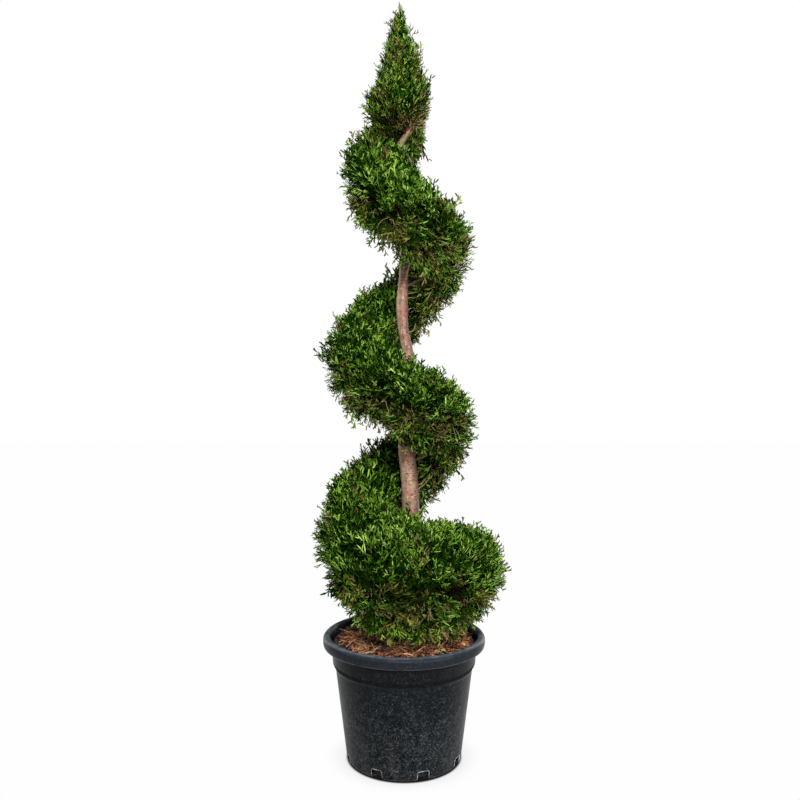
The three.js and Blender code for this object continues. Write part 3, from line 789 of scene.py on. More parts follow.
def tubes(name, lines, sides, finish, pale_finish=None, dark_lines=0):
    """A mesh of tubes along lines, each a pair of points and radii. With a pale finish,
    the lines after the first dark_lines take it."""
    edges, start = [], 0
    for points, radii in lines:
        edges += [(start + k, start + k + 1) for k in range(len(points) - 1)]
        start += len(points)
    piece = mesh_piece(name, np.concatenate([points for points, radii in lines]), [], edges=edges)
    mark(piece, "radius", np.concatenate([radii for points, radii in lines]))
    if pale_finish:
        pale = [np.full(len(radii), k >= dark_lines) for k, (points, radii) in enumerate(lines)]
        mark(piece, "pale", np.concatenate(pale))
    inputs = {"Sides": sides, "Finish": finish, "Pale Finish": pale_finish or finish}
    set_inputs(piece, TWIG_TREE, inputs)
    return baked(piece)


def tapered(line, foot, tip):
    """The line with a radius at each of its points, from foot to tip in mm."""
    return line, np.linspace(foot, tip, len(line)) * MM


def bent(start, end, sag, steps, rng):
    """A twig from start to end that bows by sag and wanders a little."""
    t = np.linspace(0, 1, steps)[:, None]
    bow = np.sin(t * math.pi) * sag
    wander = rng.normal(0, 0.03, (steps, 3)) * np.linalg.norm(end - start) * np.sin(t * math.pi)
    line = start * (1 - t) + end * t + wander
    line[:, 2] -= bow[:, 0]
    return line


TWIG_TREE = twig_tree()
print("twig tree has", len(TWIG_TREE.nodes), "nodes")

# %% Twigs of a mass
BARE_TWIGS = 18                  # of each mass, straight from the trunk
HANGING = 0.80                   # share of the lower cells with bare stems
STEMS_A_CELL = 2
HUB_SINK = 25 * MM               # how far a twig to an upper cell starts below the middle


def mass_twigs(index, cells):
    """The twigs of a mass and the number of dark ones, which come first."""
    rng = np.random.default_rng(SEED + 2000 + index)
    start, stop = mass_turns(index)
    ends = cells["end"]
    lines = [tapered(band_middle(np.linspace(start, stop, 7)), 3.6, 3.6)]
    for k in np.flatnonzero(~near_trunk(ends, 2 * MM)):
        hub = band_middle(np.clip(cells["turn"][k] + rng.normal(0, 0.02), start, stop))
        hub[2] -= HUB_SINK * max(0, math.sin(cells["angle"][k]))
        fork = hub + (ends[k] - hub) * rng.uniform(0.3, 0.5)
        halves = bent(hub, fork, 3 * MM, 3, rng)[:-1], bent(fork, ends[k], 4 * MM, 4, rng)
        lines.append(tapered(np.concatenate(halves), 1.9, 0.8))
    dark = len(lines)
    for k in np.flatnonzero(np.sin(cells["angle"]) < -0.25):
        if rng.uniform() > HANGING or near_trunk(ends[k], 6 * MM):
            continue
        for _ in range(STEMS_A_CELL):
            stop_at = ends[k] + (cells["out"][k] + rng.normal(0, 0.50, 3)) * rng.uniform(22, 46) * MM
            stop_at[2] = max(stop_at[2], SOIL_TOP + 5 * MM)
            if band_depth(stop_at, cells["turn"][k]) > 4 * MM:
                continue
            lines.append(tapered(bent(ends[k], stop_at, rng.normal(0, 9) * MM, 5, rng), 1.0, 0.5))
    for _ in range(BARE_TWIGS):
        end = ends[rng.integers(0, len(ends))]
        run = math.hypot(end[0], end[1])
        foot = trunk_at(min(end[2] - run * rng.uniform(0.1, 0.7), CROWN_FOOT))
        lines.append(tapered(bent(foot, end, rng.uniform(-10, 14) * MM, 6, rng), 1.7, 0.7))
    return lines, dark


print("twigs of the lowest front mass:", len(mass_twigs(11, band_sprays(11)[1])[0]))

# %% Grow the coil's masses
foliage = []
triangles = 0
for index, mass in enumerate(MASSES):
    places, cells = band_sprays(index)
    sprays = grown(f"sprays_{mass}", SPRAY_TREE, shape_shelf, places)
    lines, dark = mass_twigs(index, cells)
    twigs = tubes(f"twigs_{mass}", lines, 3, shaded_twig_finish, stem_finish, dark)
    triangles += 2 * len(sprays.data.polygons) + 2 * len(twigs.data.polygons)
    foliage.append((f"foliage_{mass}", sprays, twigs))
print("coil:", triangles, "triangles")

# %% [markdown]
# ## Crown
# The top is a pointed cone of the same sprays round the leader, more and more upright,
# and the last few stand close round its bare tip. At its foot a flank of sprays hangs
# on behind the trunk and a collar stands before it. In the opening between them the
# trunk forks into thin reddish limbs.

# %% Cells of the crown
CROWN_CELL = 22 * MM
CROWN_LOSS = 0.22                # share of the outer sprays that are missing
FORK = (0.016, 0.0, 1.566)       # where the crown's limbs leave the trunk
FORK_WINDOW = (0.013, 1.560, 25 * MM)   # x, height and radius of the opening before it


def crown_cells(rng):
    """Height and bearing of each small cell of the crown."""
    z, bearing = [], []
    row, top = CROWN[0, 0] + 8 * MM, CROWN[-1, 0] - 30 * MM
    while row < top:
        around = max(3, round(TURN * crown_radius(row) / CROWN_CELL))
        z.append(row + rng.uniform(-8, 8, around) * MM)
        bearing.append(TURN * (np.arange(around) + rng.uniform(0, 0.9, around)) / around)
        row += CROWN_CELL * 0.9
    return np.concatenate(z), np.concatenate(bearing)


def crown_places():
    rng = np.random.default_rng(SEED + 3000)
    cell_z, cell_bearing = crown_cells(rng)
    cell_lean = rng.normal(0, 0.16, (cell_z.size, 3))
    cell_mood = rng.uniform(0, 1, cell_z.size)
    cell = np.repeat(np.arange(cell_z.size), SPRAYS_PER_CELL)
    n = cell.size
    inner = np.arange(n) % SPRAYS_PER_CELL == 0
    z = cell_z[cell] + rng.normal(0, 5, n) * MM
    bearing = cell_bearing[cell] + rng.normal(0, 0.12, n)
    clip = crown_radius(z)
    rise = np.clip((z - CROWN_FOOT) / (CROWN[-1, 0] - CROWN_FOOT), 0, 1)
    outward = level(bearing)
    depth = np.minimum(rng.uniform(16, 38, n) * MM, clip * 0.9)
    root = crown_axis(z) + outward * (clip - depth)[:, None]
    root[:, 2] -= 12 * MM + 10 * MM * rise
    skirt = np.clip((CROWN_FOOT + 10 * MM - z) / (40 * MM), 0, 1)
    lift = 1.9 + 2.2 * rise ** 2 - 1.6 * skirt
    heading = unit(outward + cell_lean[cell] + UP * lift[:, None] + rng.normal(0, 0.17, (n, 3)))
    length = SPRAY_LENGTH * rng.uniform(0.9, 1.25, n) * (1 - 0.55 * rise)
    wanted = np.clip(rng.normal(-3, 5, n), -14, 4) * MM - inner * np.minimum(20 * MM, clip * 0.4)
    for _ in range(8):
        tip = root + heading * length[:, None]
        over = np.hypot(*(tip - crown_axis(tip[:, 2]))[:, :2].T) - crown_radius(tip[:, 2])
        length *= np.where(over > wanted, 0.9, 1.0)
    tip = root + heading * length[:, None]
    clear = (tip[:, 2] < cad_high.z - 4 * MM) & (length > 0.22 * SPRAY_LENGTH)
    clear &= ~near_trunk(root, 1 * MM) & (inner | (rng.uniform(0, 1, n) > CROWN_LOSS))
    x, high, wide = FORK_WINDOW
    clear &= (np.hypot(tip[:, 0] - x, tip[:, 2] - high) > wide) | (tip[:, 1] > 0)
    roll = unit(np.cross(outward, heading) * FACE_ON + rng.normal(0, 0.4, (n, 3)))
    # Painted light and shade: higher sprays take lighter tints and the skirt at the foot dim ones.
    tint = deal_tints(rng, 0.80 + 0.2 * rise - 0.5 * skirt, cell_mood[cell], 0.15 + 0.6 * skirt)
    dry = (np.cos(bearing) + rng.normal(0, 0.4, n) > 0.85) & (rng.uniform(0, 1, n) < 0.6)
    tint[dry] = OLIVE
    tint[inner] = DEEP_SHADE
    return spray_places(root, heading, roll, length / SPRAY_LENGTH, shapes_for(rng, inner), tint, clear)


cone = crown_places()
print("cone:", len(cone["root"]), "sprays")

# %% Leader
LEADER_SPRAYS = 26
LEADER_RANGE = (1.790, 1.866)    # heights


def any_shape(rng, n, tints):
    """Full shapes and some of those tints, for n sprays."""
    return rng.integers(0, SHAPES, n), rng.choice(np.array(tints, float), n)


def leader_places():
    """Small sprays that stand close round the bare leader."""
    rng = np.random.default_rng(SEED + 3500)
    n = LEADER_SPRAYS
    z = np.linspace(*LEADER_RANGE, n)
    outward = level(rng.uniform(0, TURN, n))
    rise = (z - z[0]) / (z[-1] - z[0])
    heading = unit(outward * (0.75 - 0.45 * rise)[:, None] + UP + rng.normal(0, 0.10, (n, 3)))
    side = outward + rng.normal(0, 0.5, (n, 3))
    size = (0.46 - 0.30 * rise) * rng.uniform(0.8, 1.15, n)
    return spray_places(trunk_at(z) - heading * 2 * MM, heading, side, size,
                        *any_shape(rng, n, [MID, FRESH, OLIVE]))


leader = leader_places()
print("leader:", len(leader["root"]), "sprays")

# %% Flank
FLANK_SPRAYS = 120
FLANK_RANGE = (1.470, 1.590)     # heights
FLANK_EDGE = np.array([(1466, 12), (1484, 20), (1509, 31), (1534, 37), (1590, 52)]) * MM   # height, x


def flank_places():
    """Sprays that hang on behind the trunk's right side, from the crown to the first turn."""
    rng = np.random.default_rng(SEED + 3700)
    n = FLANK_SPRAYS
    z = rng.uniform(*FLANK_RANGE, n)
    edge = np.interp(z, *FLANK_EDGE.T)
    root = trunk_at(z) + np.stack([rng.uniform(4, 20, n), rng.uniform(8, 44, n), 0 * z], axis=1) * MM
    heading = unit(np.stack([rng.uniform(0.2, 1.0, n), rng.uniform(-0.5, 0.5, n),
                             rng.uniform(-0.5, 1.1, n)], axis=1))
    length = SPRAY_LENGTH * rng.uniform(0.55, 0.9, n)
    length = np.minimum(length, (edge - root[:, 0]) / np.maximum(heading[:, 0], 0.2))
    kept = (length > 14 * MM) & ~near_trunk(root, 2 * MM)
    return spray_places(root, heading, unit(rng.normal(0, 1, (n, 3))), length / SPRAY_LENGTH,
                        *any_shape(rng, n, [DEEP_SHADE, MID, OLIVE, OLIVE, FRESH]), kept)


flank = flank_places()
print("flank:", len(flank["root"]), "sprays")

# %% Collar
COLLAR_SPRAYS = 70
COLLAR_RANGE = (-0.026, 0.034)   # x
COLLAR_TOP = np.array([(-17, 1509), (0, 1479), (19, 1453), (34, 1420)]) * MM               # x, height


def collar_places():
    """Sprays that stand before the trunk at the foot of the crown, up to a slanting edge."""
    rng = np.random.default_rng(SEED + 3800)
    n = COLLAR_SPRAYS
    x = rng.uniform(*COLLAR_RANGE, n)
    top = np.interp(x, *COLLAR_TOP.T)
    heading = unit(np.stack([rng.normal(-0.1, 0.4, n), rng.uniform(-0.7, 0.0, n), np.ones(n)], axis=1))
    length = SPRAY_LENGTH * rng.uniform(0.5, 0.8, n)
    z = top - length * heading[:, 2] - rng.gamma(1.2, 12, n) * MM
    root = np.stack([x - heading[:, 0] * length, rng.uniform(-0.034, -0.020, n), z], axis=1)
    side = unit(rng.normal(0, 0.4, (n, 3)) + (1, 0, 0))
    return spray_places(root, heading, side, length / SPRAY_LENGTH,
                        *any_shape(rng, n, [DEEP_SHADE, MID, FRESH, MID, DEEP_SHADE]))


collar = collar_places()
print("collar:", len(collar["root"]), "sprays")

# %% Grow the crown
groups = [cone, leader, flank, collar]
crown = {key: np.concatenate([group[key] for group in groups]) for key in cone}
crown_sprays = grown("sprays_crown", SPRAY_TREE, shape_shelf, crown)
print("crown:", len(crown["root"]), "sprays")

# %% Twigs of the crown and its fork
CROWN_STEMS = 18                 # bare, where the crown leaves the trunk
FORK_TWIGS = 34


def crown_lines(rng):
    """A twig to every fourth spray, then the bare stems, and the number of the first."""
    lines = []
    for end in crown["root"][::4]:
        foot = trunk_at(max(end[2] - rng.uniform(15, 45) * MM, CROWN[0, 0] - 30 * MM))
        lines.append(tapered(bent(foot, end, 2 * MM, 4, rng), 1.6, 0.7))
    dark = len(lines)
    for _ in range(CROWN_STEMS):
        foot = trunk_at(rng.uniform(1.555, 1.600))
        heading = level(rng.uniform(0, TURN)) + UP * rng.uniform(-0.2, 1.2)
        reach = heading * rng.uniform(40, 66) * MM
        lines.append(tapered(bent(foot, foot + reach, rng.normal(0, 5) * MM, 6, rng), 2.0, 0.7))
    return lines, dark


def fork_lines(rng):
    lines = []
    for _ in range(FORK_TWIGS):
        foot = np.array(FORK) + rng.normal(0, 4, 3) * MM
        reach = np.array([rng.normal(0, 0.8), rng.uniform(-1.0, 0.2), rng.uniform(0.1, 1.6)])
        reach = reach * rng.uniform(12, 30) * MM
        lines.append(tapered(bent(foot, foot + reach, rng.normal(0, 4) * MM, 5, rng), 2.2, 0.8))
    return lines


rng = np.random.default_rng(SEED + 4000)
lines, dark = crown_lines(rng)
fork_twigs = tubes("twigs_fork", fork_lines(rng), 3, fork_finish)
crown_twigs = tubes("twigs_crown", lines, 3, shaded_twig_finish, stem_finish, dark)
foliage.append(("foliage_crown", crown_sprays, crown_twigs))
triangles += 2 * len(crown_sprays.data.polygons) + 2 * len(crown_twigs.data.polygons)
print("with crown:", triangles, "triangles")

# %% [markdown]
# ## Trunk and boughs
# The bark is thin and pinkish tan, with fine upright fissures, dark knots where small
# shoots were cut away, and a grey-green film higher up. The relief is in the mesh: a
# fine grid of points round the trunk's line is pushed in and out by smooth noise.

# %% Smooth noise
def value_noise(u, v, cells_u, cells_v, seed):
    """Smooth noise on a grid that closes round u from 0 to 1."""
    grid = np.random.default_rng(seed).uniform(-1, 1, (cells_u, cells_v + 2))
    x, y = (u % 1) * cells_u, np.clip(v, 0, 0.9999) * cells_v
    i, j = np.floor(x).astype(int) % cells_u, np.floor(y).astype(int)
    fx, fy = x - np.floor(x), y - j
    fx, fy = fx * fx * (3 - 2 * fx), fy * fy * (3 - 2 * fy)
    k = (i + 1) % cells_u
    low = grid[i, j] * (1 - fx) + grid[k, j] * fx
    high = grid[i, j + 1] * (1 - fx) + grid[k, j + 1] * fx
    return low * (1 - fy) + high * fy


noise_row = value_noise(np.linspace(0, 1, 5), np.full(5, 0.5), 5, 5, 1)
print("noise round once:", noise_row.round(2))

# %% Bark colours
def bark_finish():
    """Tan bark with ruddy patches, under coats that each colour a part of it, some of them painted shade
    and light.
    """
    bark = Finish("trunk_bark")
    knots = bark.add("ShaderNodeAttribute", {"attribute_name": "knot"}, output="Fac")
    side = bark.add("ShaderNodeAttribute", {"attribute_name": "side"}, output="Fac")
    height = bark.height()
    fibres = bark.noise(70, 5, (1, 1, 0.25))
    wrinkles = bark.noise(52, 3, (1, 1, 4.5))
    grain = bark.noise(210, 3, (1, 1, 0.9))
    ruddy = bark.ramp(bark.noise(44, 4, (1, 1, 1.1)) + (side - 0.5) * 0.10, 0.46, 0.56)
    bark.colour = bark.mix(ruddy, (0.320, 0.216, 0.129), (0.367, 0.132, 0.082))
    # Pale flakes and dark russet scars
    bark.coat(bark.patches(90, 4, 0.52, 0.64, (1, 1, 0.8)) * 0.55, (0.440, 0.316, 0.219))
    bark.coat(bark.patches(75, 5, 0.47, 0.36, (1, 1, 0.7)) * 0.75, (0.147, 0.062, 0.037))
    # Upright fibres, and wrinkles across them, dim in the hollows of their bump and paler on its ridges:
    # partly the bark's own colour, partly painted shade and painted highlight
    bark.coat(bark.ramp(fibres, 0.56, 0.40) * 0.40, (0.139, 0.072, 0.041))
    bark.coat(bark.ramp(wrinkles, 0.46, 0.36) * 0.8, (0.110, 0.049, 0.029))
    bark.coat(bark.ramp(wrinkles, 0.58, 0.68) * 0.45, (0.455, 0.323, 0.225))
    # Pale warts and dark pits, in patches
    warts = bark.ramp(bark.dots(130.0), 0.36, 0.28) * bark.patches(44, 2, 0.50, 0.58)
    bark.coat(warts * 0.8, (0.600, 0.480, 0.350))
    pits = bark.ramp(bark.dots(82.0, (1, 1, 1.3)), 0.32, 0.24)
    bark.coat(pits * bark.patches(30, 2, 0.44, 0.52, (1.1, 1, 1)) * 0.9, (0.055, 0.020, 0.013))
    # Fine grain, dark and pale
    bark.coat(bark.ramp(grain, 0.50, 0.38) * 0.40, (0.110, 0.050, 0.030))
    bark.coat(bark.ramp(grain, 0.58, 0.70) * 0.35, (0.560, 0.430, 0.310))
    # A dark brown stretch half way up, painted shade where the band shades the trunk; the right side
    # dimmed as painted shade and the left side paled as painted light
    bark.coat(bark.zone(height, (0.99, 1.04), (1.20, 1.14)) * 0.24, (0.110, 0.055, 0.034))
    bark.coat(bark.ramp(side, 0.58, 0.93) * 0.66, (0.060, 0.032, 0.020))
    bark.coat(bark.ramp(side, 0.34, 0.06) * 0.55, (0.640, 0.430, 0.290))
    # The red fork under the crown
    bark.coat(bark.zone(height, (1.538, 1.550), (1.610, 1.585)) * 0.65, (0.300, 0.105, 0.058))
    # A green film, ragged at its foot, and lower down a stretch of dark green-brown
    ragged = height + (bark.noise(14, 4) - 0.5) * 0.10
    film = bark.ramp(ragged, 1.17, 1.23) * bark.ramp(height, 1.556, 1.538)
    bark.coat(film * 0.62, (0.110, 0.089, 0.048))
    bark.coat(bark.zone(height, (0.74, 0.80), (0.99, 0.90)) * 0.50, (0.125, 0.089, 0.048))
    # All of it a little darker, and the knots darkest
    bark.coat(0.05, (0.0, 0.0, 0.0))
    bark.coat(bark.ramp(knots, 0.25, 0.75) * 0.85, (0.033, 0.012, 0.007))
    relief = fibres * 0.5 + wrinkles * 0.6 + bark.noise(240, 3, (1, 1, 0.5)) * 0.3
    return bark.set(base_color=bark.colour, roughness=0.62, normal=bark.bump(relief, 1.4 * MM, 1.0))


trunk_bark = bark_finish()
print("bark:", len(trunk_bark.node_tree.nodes), "nodes")

# %% Bark relief
AROUND = 72
UP_STEP = 3.2 * MM
KNOTS = 170
FLARE_HEIGHT = 70 * MM


def trunk_mesh():
    """The trunk's piece, which marks its knots and its left and right sides."""
    low, high = SOIL_TOP - 0.25 * MM, TRUNK[-1, 0]
    rows = int((high - low) / UP_STEP)
    z = np.repeat(np.linspace(low, high, rows), AROUND)
    u = np.tile(np.arange(AROUND) / AROUND, rows)
    v = (z - low) / (high - low)
    bearing = u * TURN
    flare = np.clip(1 - (z - low) / FLARE_HEIGHT, 0, 1) ** 2
    radius = trunk_radius(z) + flare * (9 + 3 * np.cos(5 * bearing)) * MM
    fissures = value_noise(u, v, 26, 90, 1) * 0.5 + value_noise(u, v, 44, 260, 2) * 0.35
    fissures = fissures + value_noise(u, v, 6, 420, 5) * 0.35
    lumps = value_noise(u, v, 5, 34, 3) + value_noise(u, v, 9, 120, 4) * 0.5
    slim = np.clip(radius / (20 * MM), 0.1, 1)
    relief = (np.minimum(fissures, 0.25) * 1.1 + lumps * 0.9) * slim * MM
    rng = np.random.default_rng(SEED + 5)
    knots = np.zeros(z.size)
    for _ in range(KNOTS):
        kz, ku = rng.uniform(low + 0.03, high - 0.35), rng.uniform()
        size = rng.uniform(0.9, 1.9) ** 2 * MM
        du = np.abs((u - ku + 0.5) % 1 - 0.5) * TURN * radius
        away = np.hypot(du, (z - kz) * rng.uniform(0.8, 1.7)) / size
        ring, hollow = np.exp(-((away - 1.0) * 1.8) ** 2), np.exp(-(away * 1.6) ** 2)
        relief += (ring * 0.9 - hollow * 1.3) * slim * MM
        knots = np.maximum(knots, np.exp(-(away * 1.15) ** 2))
    points = trunk_at(z) + level(bearing) * (radius + relief)[:, None]
    faces = grid_faces(rows, AROUND)
    faces.append(tuple(reversed(range(AROUND))))
    faces.append(tuple(range((rows - 1) * AROUND, rows * AROUND)))
    piece = mesh_piece("trunk_bark", points, faces, [trunk_bark])
    mark(piece, "knot", knots)
    mark(piece, "side", np.cos(bearing) * 0.5 + 0.5)
    return piece


trunk = trunk_mesh()
print("trunk:", len(trunk.data.polygons), "faces")

# %% Boughs and cut stubs
BOUGH_RADII = (6.0, 3.0)         # at foot and tip, in mm
BOUGH_REACH = 0.62               # where along its mass a bough ends
BOUGH_FALL = 0.62                # how far down the trunk it starts, over its reach
STUBS = 26


def bough_finish():
    bark = Finish("bough_bark")
    # Dark brown, much dimmer than the trunk's bark: painted shade on boughs inside the foliage. The cut
    # stubs take it too.
    colour = bark.mix(bark.patches(70, 4, 0.35, 0.65), (0.045, 0.027, 0.016), (0.115, 0.070, 0.042))
    return bark.set(base_color=colour, roughness=0.8, normal=bark.bump(bark.noise(260, 3), 0.5 * MM))


def bough_line(index):
    """From inside the trunk up and out to the middle of the mass."""
    rng = np.random.default_rng(SEED + 6000 + index)
    start, stop = mass_turns(index)
    end = band_middle(start + (stop - start) * BOUGH_REACH)
    end[2] = min(end[2], CROWN_FOOT - 48 * MM)
    foot = trunk_at(end[2] - math.hypot(end[0], end[1]) * BOUGH_FALL)
    line, radii = tapered(bent(foot, end, 8 * MM, 9, rng), *BOUGH_RADII)
    radii *= min(1.0, 0.45 + trunk_radius(line[0, 2]) / (30 * MM))
    radii[0] *= 1.25
    return line, radii


def stub_line(rng):
    """The short end of a shoot that was cut off."""
    z = rng.uniform(SOIL_TOP + 0.12, 1.56)
    heading = level(rng.uniform(0, TURN)) + UP * rng.uniform(0.3, 0.9)
    centre, r = trunk_at(z), trunk_radius(z)
    reach = r * 0.9 + rng.uniform(2, 7) * MM
    line = np.array([centre + heading * r * 0.4, centre + heading * reach])
    return line, np.array([1.0, 0.85]) * rng.uniform(1.4, 2.8) * MM * min(1, r / (16 * MM) + 0.3)


bough_bark = bough_finish()
boughs = [(f"bough_{mass}", tubes(f"bough_bark_{mass}", [bough_line(index)], 10, bough_bark))
          for index, mass in enumerate(MASSES)]
rng = np.random.default_rng(SEED + 7)
stubs = tubes("trunk_stubs", [stub_line(rng) for _ in range(STUBS)], 8, bough_bark)
print(len(boughs), "boughs and", STUBS, "stubs")

# %% [markdown]
# ## Pot
# The pot is moulded black plastic: a tapering wall, a wider neck band, a thick rounded
# rim that has faded to blue-grey, and drain notches at the foot with pale ragged edges.
# Its wall is one profile turned about the middle, and the notches are cut out of it.

# %% Outline of the pot
POT = {"height": 304, "foot": 142, "foot_round": 4, "wall_top": 223, "wall_top_r": 170,
       "neck_foot": 235, "neck_foot_r": 177, "neck_top": 276, "neck_top_r": 180,
       "rim": 201, "rim_inner": 183, "rim_round": 7, "wall": 3.5, "floor": 4}
PROFILE_ROUND = 3.2


def rounded(points, radius, steps=4):
    """The same open outline with each inner corner cut to a short round."""
    result = [points[0]]
    for before, corner, after in zip(points, points[1:], points[2:]):
        before, corner, after = (np.array(p, float) for p in (before, corner, after))
        back, on = before - corner, after - corner
        trim = min(radius, np.linalg.norm(back) * 0.45, np.linalg.norm(on) * 0.45)
        start = corner + back / np.linalg.norm(back) * trim
        stop = corner + on / np.linalg.norm(on) * trim
        for t in np.linspace(0, 1, steps):
            result.append(tuple(start * (1 - t) ** 2 + corner * 2 * t * (1 - t) + stop * t * t))
    result.append(points[-1])
    return result


def pot_profile():
    """Up the outside from the middle of the floor, over the rim and down the inside."""
    p = POT
    outline = [(0, 0), (p["foot"] - p["foot_round"], 0), (p["foot"], p["foot_round"]),
               (p["wall_top_r"], p["wall_top"]), (p["neck_foot_r"], p["neck_foot"]),
               (p["neck_top_r"], p["neck_top"]), (p["rim"] - 2, p["neck_top"] + 1),
               (p["rim"], p["neck_top"] + 8), (p["rim"], p["height"] - p["rim_round"]),
               (p["rim"] - p["rim_round"], p["height"]), (p["rim_inner"] + 3, p["height"]),
               (p["rim_inner"], p["height"] - 5), (p["neck_top_r"] - p["wall"], p["neck_top"]),
               (p["neck_foot_r"] - p["wall"], p["neck_foot"]),
               (p["wall_top_r"] - p["wall"], p["wall_top"]),
               (p["foot"] - p["wall"], p["foot_round"] + p["floor"]),
               (p["foot"] - 10, p["floor"]), (0, p["floor"])]
    return np.array(rounded(outline, PROFILE_ROUND)) * MM


print("pot outline:", len(pot_profile()), "points")

# %% Worn black plastic
def pot_finish():
    """Black plastic under coats of wear, dust and scratches, with painted shade under the rim and a
    painted highlight on its top.
    """
    pot = Finish("pot_plastic")
    height = pot.height()
    low = pot.ramp(height, 0.27, 0.06) * 0.75 + 0.25
    # A thin band at the step below the neck band: painted shade there, and rougher.
    step = pot.zone(height, (0.226, 0.230), (0.242, 0.237))
    cloudy = pot.patches(9, 5, 0.35, 0.7)
    pot.colour = pot.mix(cloudy, (0.0010, 0.0020, 0.0027), (0.0032, 0.0052, 0.0068))
    # The neck band, dimmed partly as painted shade under the rim, the greyer rim and the pale line under
    # its lip
    pot.coat(pot.ramp(height, 0.226, 0.236) * 0.8, (0.0020, 0.0028, 0.0034))
    pot.coat(pot.ramp(height, 0.272, 0.282) * 0.8, (0.009, 0.012, 0.016))
    lip_line = pot.zone(height, (0.2768, 0.2776), (0.2805, 0.2790))
    pot.coat(lip_line * pot.patches(40, 3, 0.38, 0.52) * 0.6, (0.060, 0.066, 0.070))
    # The top of the rim, worn, and its top face paler: partly faded by the sun, partly a painted
    # highlight
    worn = pot.ramp(height, 0.292, 0.303) * (0.5 + pot.patches(26, 4, 0.40, 0.62) * 0.5)
    pot.coat(worn * 0.8, (0.038, 0.046, 0.058))
    sun_faded_and_highlit = pot.ramp(height, 0.3005, 0.3035) * (0.4 + pot.patches(60, 3, 0.42, 0.60) * 0.6)
    pot.coat(sun_faded_and_highlit * 0.85, (0.120, 0.142, 0.165))
    # Smears of dried mud near the foot
    smear = pot.ramp(pot.noise(30, 6, (1, 1, 0.7), 0.7), 0.44, 0.74) * pot.ramp(height, 0.16, 0.01)
    pot.coat(smear * 0.35, (0.085, 0.080, 0.072))
    # Scratches: broken contour lines of four noises, then short fine ones
    scratches = {46: (1, 1, 0.8), 64: (1.3, 0.8, 1.1), 98: (0.9, 1.2, 1), 140: (1, 1, 1.3)}
    for scale, stretch in scratches.items():
        off_line = pot.noise(scale, 3, stretch) - 0.5
        lines = pot.ramp(off_line.math("ABSOLUTE", off_line), 0.022, 0.006)
        broken = pot.patches(scale * 1.3, 2, 0.48, 0.58, (1, 1, 1.2))
        pot.coat(lines * broken * low * 0.40, (0.080, 0.088, 0.094))
    fine = pot.patches(270, 2, 0.60, 0.68) * pot.patches(36, 3, 0.24, 0.60)
    pot.coat(fine * low * 0.45, (0.095, 0.103, 0.108))
    # Painted shade on the step below the neck band, and specks of grit
    pot.coat(step * 0.60, (0.0012, 0.0016, 0.0020))
    lot = pot.ramp(pot.add("ShaderNodeSeparateColor", None, [pot.dots(330.0, output=1)]), 0.80, 0.98)
    pot.coat(pot.ramp(pot.dots(330.0), 0.30, 0.18) * lot * low, (0.19, 0.20, 0.20))
    rough = 0.28 + pot.noise(22, 5) * 0.20 + step * 0.40
    relief = pot.noise(14, 3) * 0.8 + pot.noise(160, 3) * 0.2
    return pot.set(base_color=pot.colour, roughness=rough, specular_ior_level=0.06,
                   normal=pot.bump(relief, 0.9 * MM, 0.5))


pot_plastic = pot_finish()
print("plastic:", len(pot_plastic.node_tree.nodes), "nodes")

# %% Pot body
POT_SIDES = 160
NOTCH = {"count": 8, "width": 28, "height": 23, "first": -72}


def turned_body(name, profile, sides, material):
    """A closed body turned from a profile that starts and ends on the middle line."""
    inner = profile[1:-1]
    angle = np.arange(sides) / sides * TURN
    ring = np.stack([np.cos(angle), np.sin(angle)], axis=1)
    points = [np.column_stack([ring * r, np.full(sides, z)]) for r, z in inner]
    points = np.concatenate(points + [np.array([[0, 0, profile[0, 1]], [0, 0, profile[-1, 1]]])])
    rows = len(inner)
    faces = grid_faces(rows, sides)
    low, high = rows * sides, rows * sides + 1
    last = (rows - 1) * sides
    faces += [(low, (j + 1) % sides, j) for j in range(sides)]
    faces += [(high, last + j, last + (j + 1) % sides) for j in range(sides)]
    return mesh_piece(name, points, faces, [material])


def notches():
    """The direction out through each notch and the one along the wall there."""
    for i in range(NOTCH["count"]):
        a = math.radians(NOTCH["first"] - 90 + i * 360 / NOTCH["count"])
        yield np.array([math.cos(a), math.sin(a), 0]), np.array([-math.sin(a), math.cos(a), 0])


def notch_cutter():
    """A block at each notch, a little narrower at the top, with cut corners."""
    w, h = NOTCH["width"] / 2, NOTCH["height"]
    outline = [(-w - 1, -9), (w + 1, -9), (w, h - 3), (w - 3, h), (3 - w, h), (-w, h - 3)]
    n = len(outline)
    block = [reversed(range(n)), range(n, 2 * n), *grid_faces(2, n)]
    block = [tuple(face) for face in block]
    points, faces = [], []
    for out, side in notches():
        faces += [tuple(len(points) + k for k in face) for face in block]
        for r in (POT["foot"] - 13, POT["foot"] + 13):
            points += [(out * r + side * s + UP * z) * MM for s, z in outline]
    return mesh_piece("notch_cutter", points, faces, smooth=False)


pot = turned_body("pot_body", pot_profile(), POT_SIDES, pot_plastic)
cutter = notch_cutter()
cut = pot.modifiers.new("notches", "BOOLEAN")
cut.operation, cut.solver, cut.object = "DIFFERENCE", "EXACT", cutter
baked(pot)
bpy.data.objects.remove(cutter)
edge_split = pot.modifiers.new("edges", "EDGE_SPLIT")
edge_split.split_angle = math.radians(50)
baked(pot)
print("pot:", len(pot.data.polygons), "faces")

# %% Ragged notch edges
FLASH_POINTS = 34
RAGGED = 0.35                    # how far a line of flash wanders, in mm


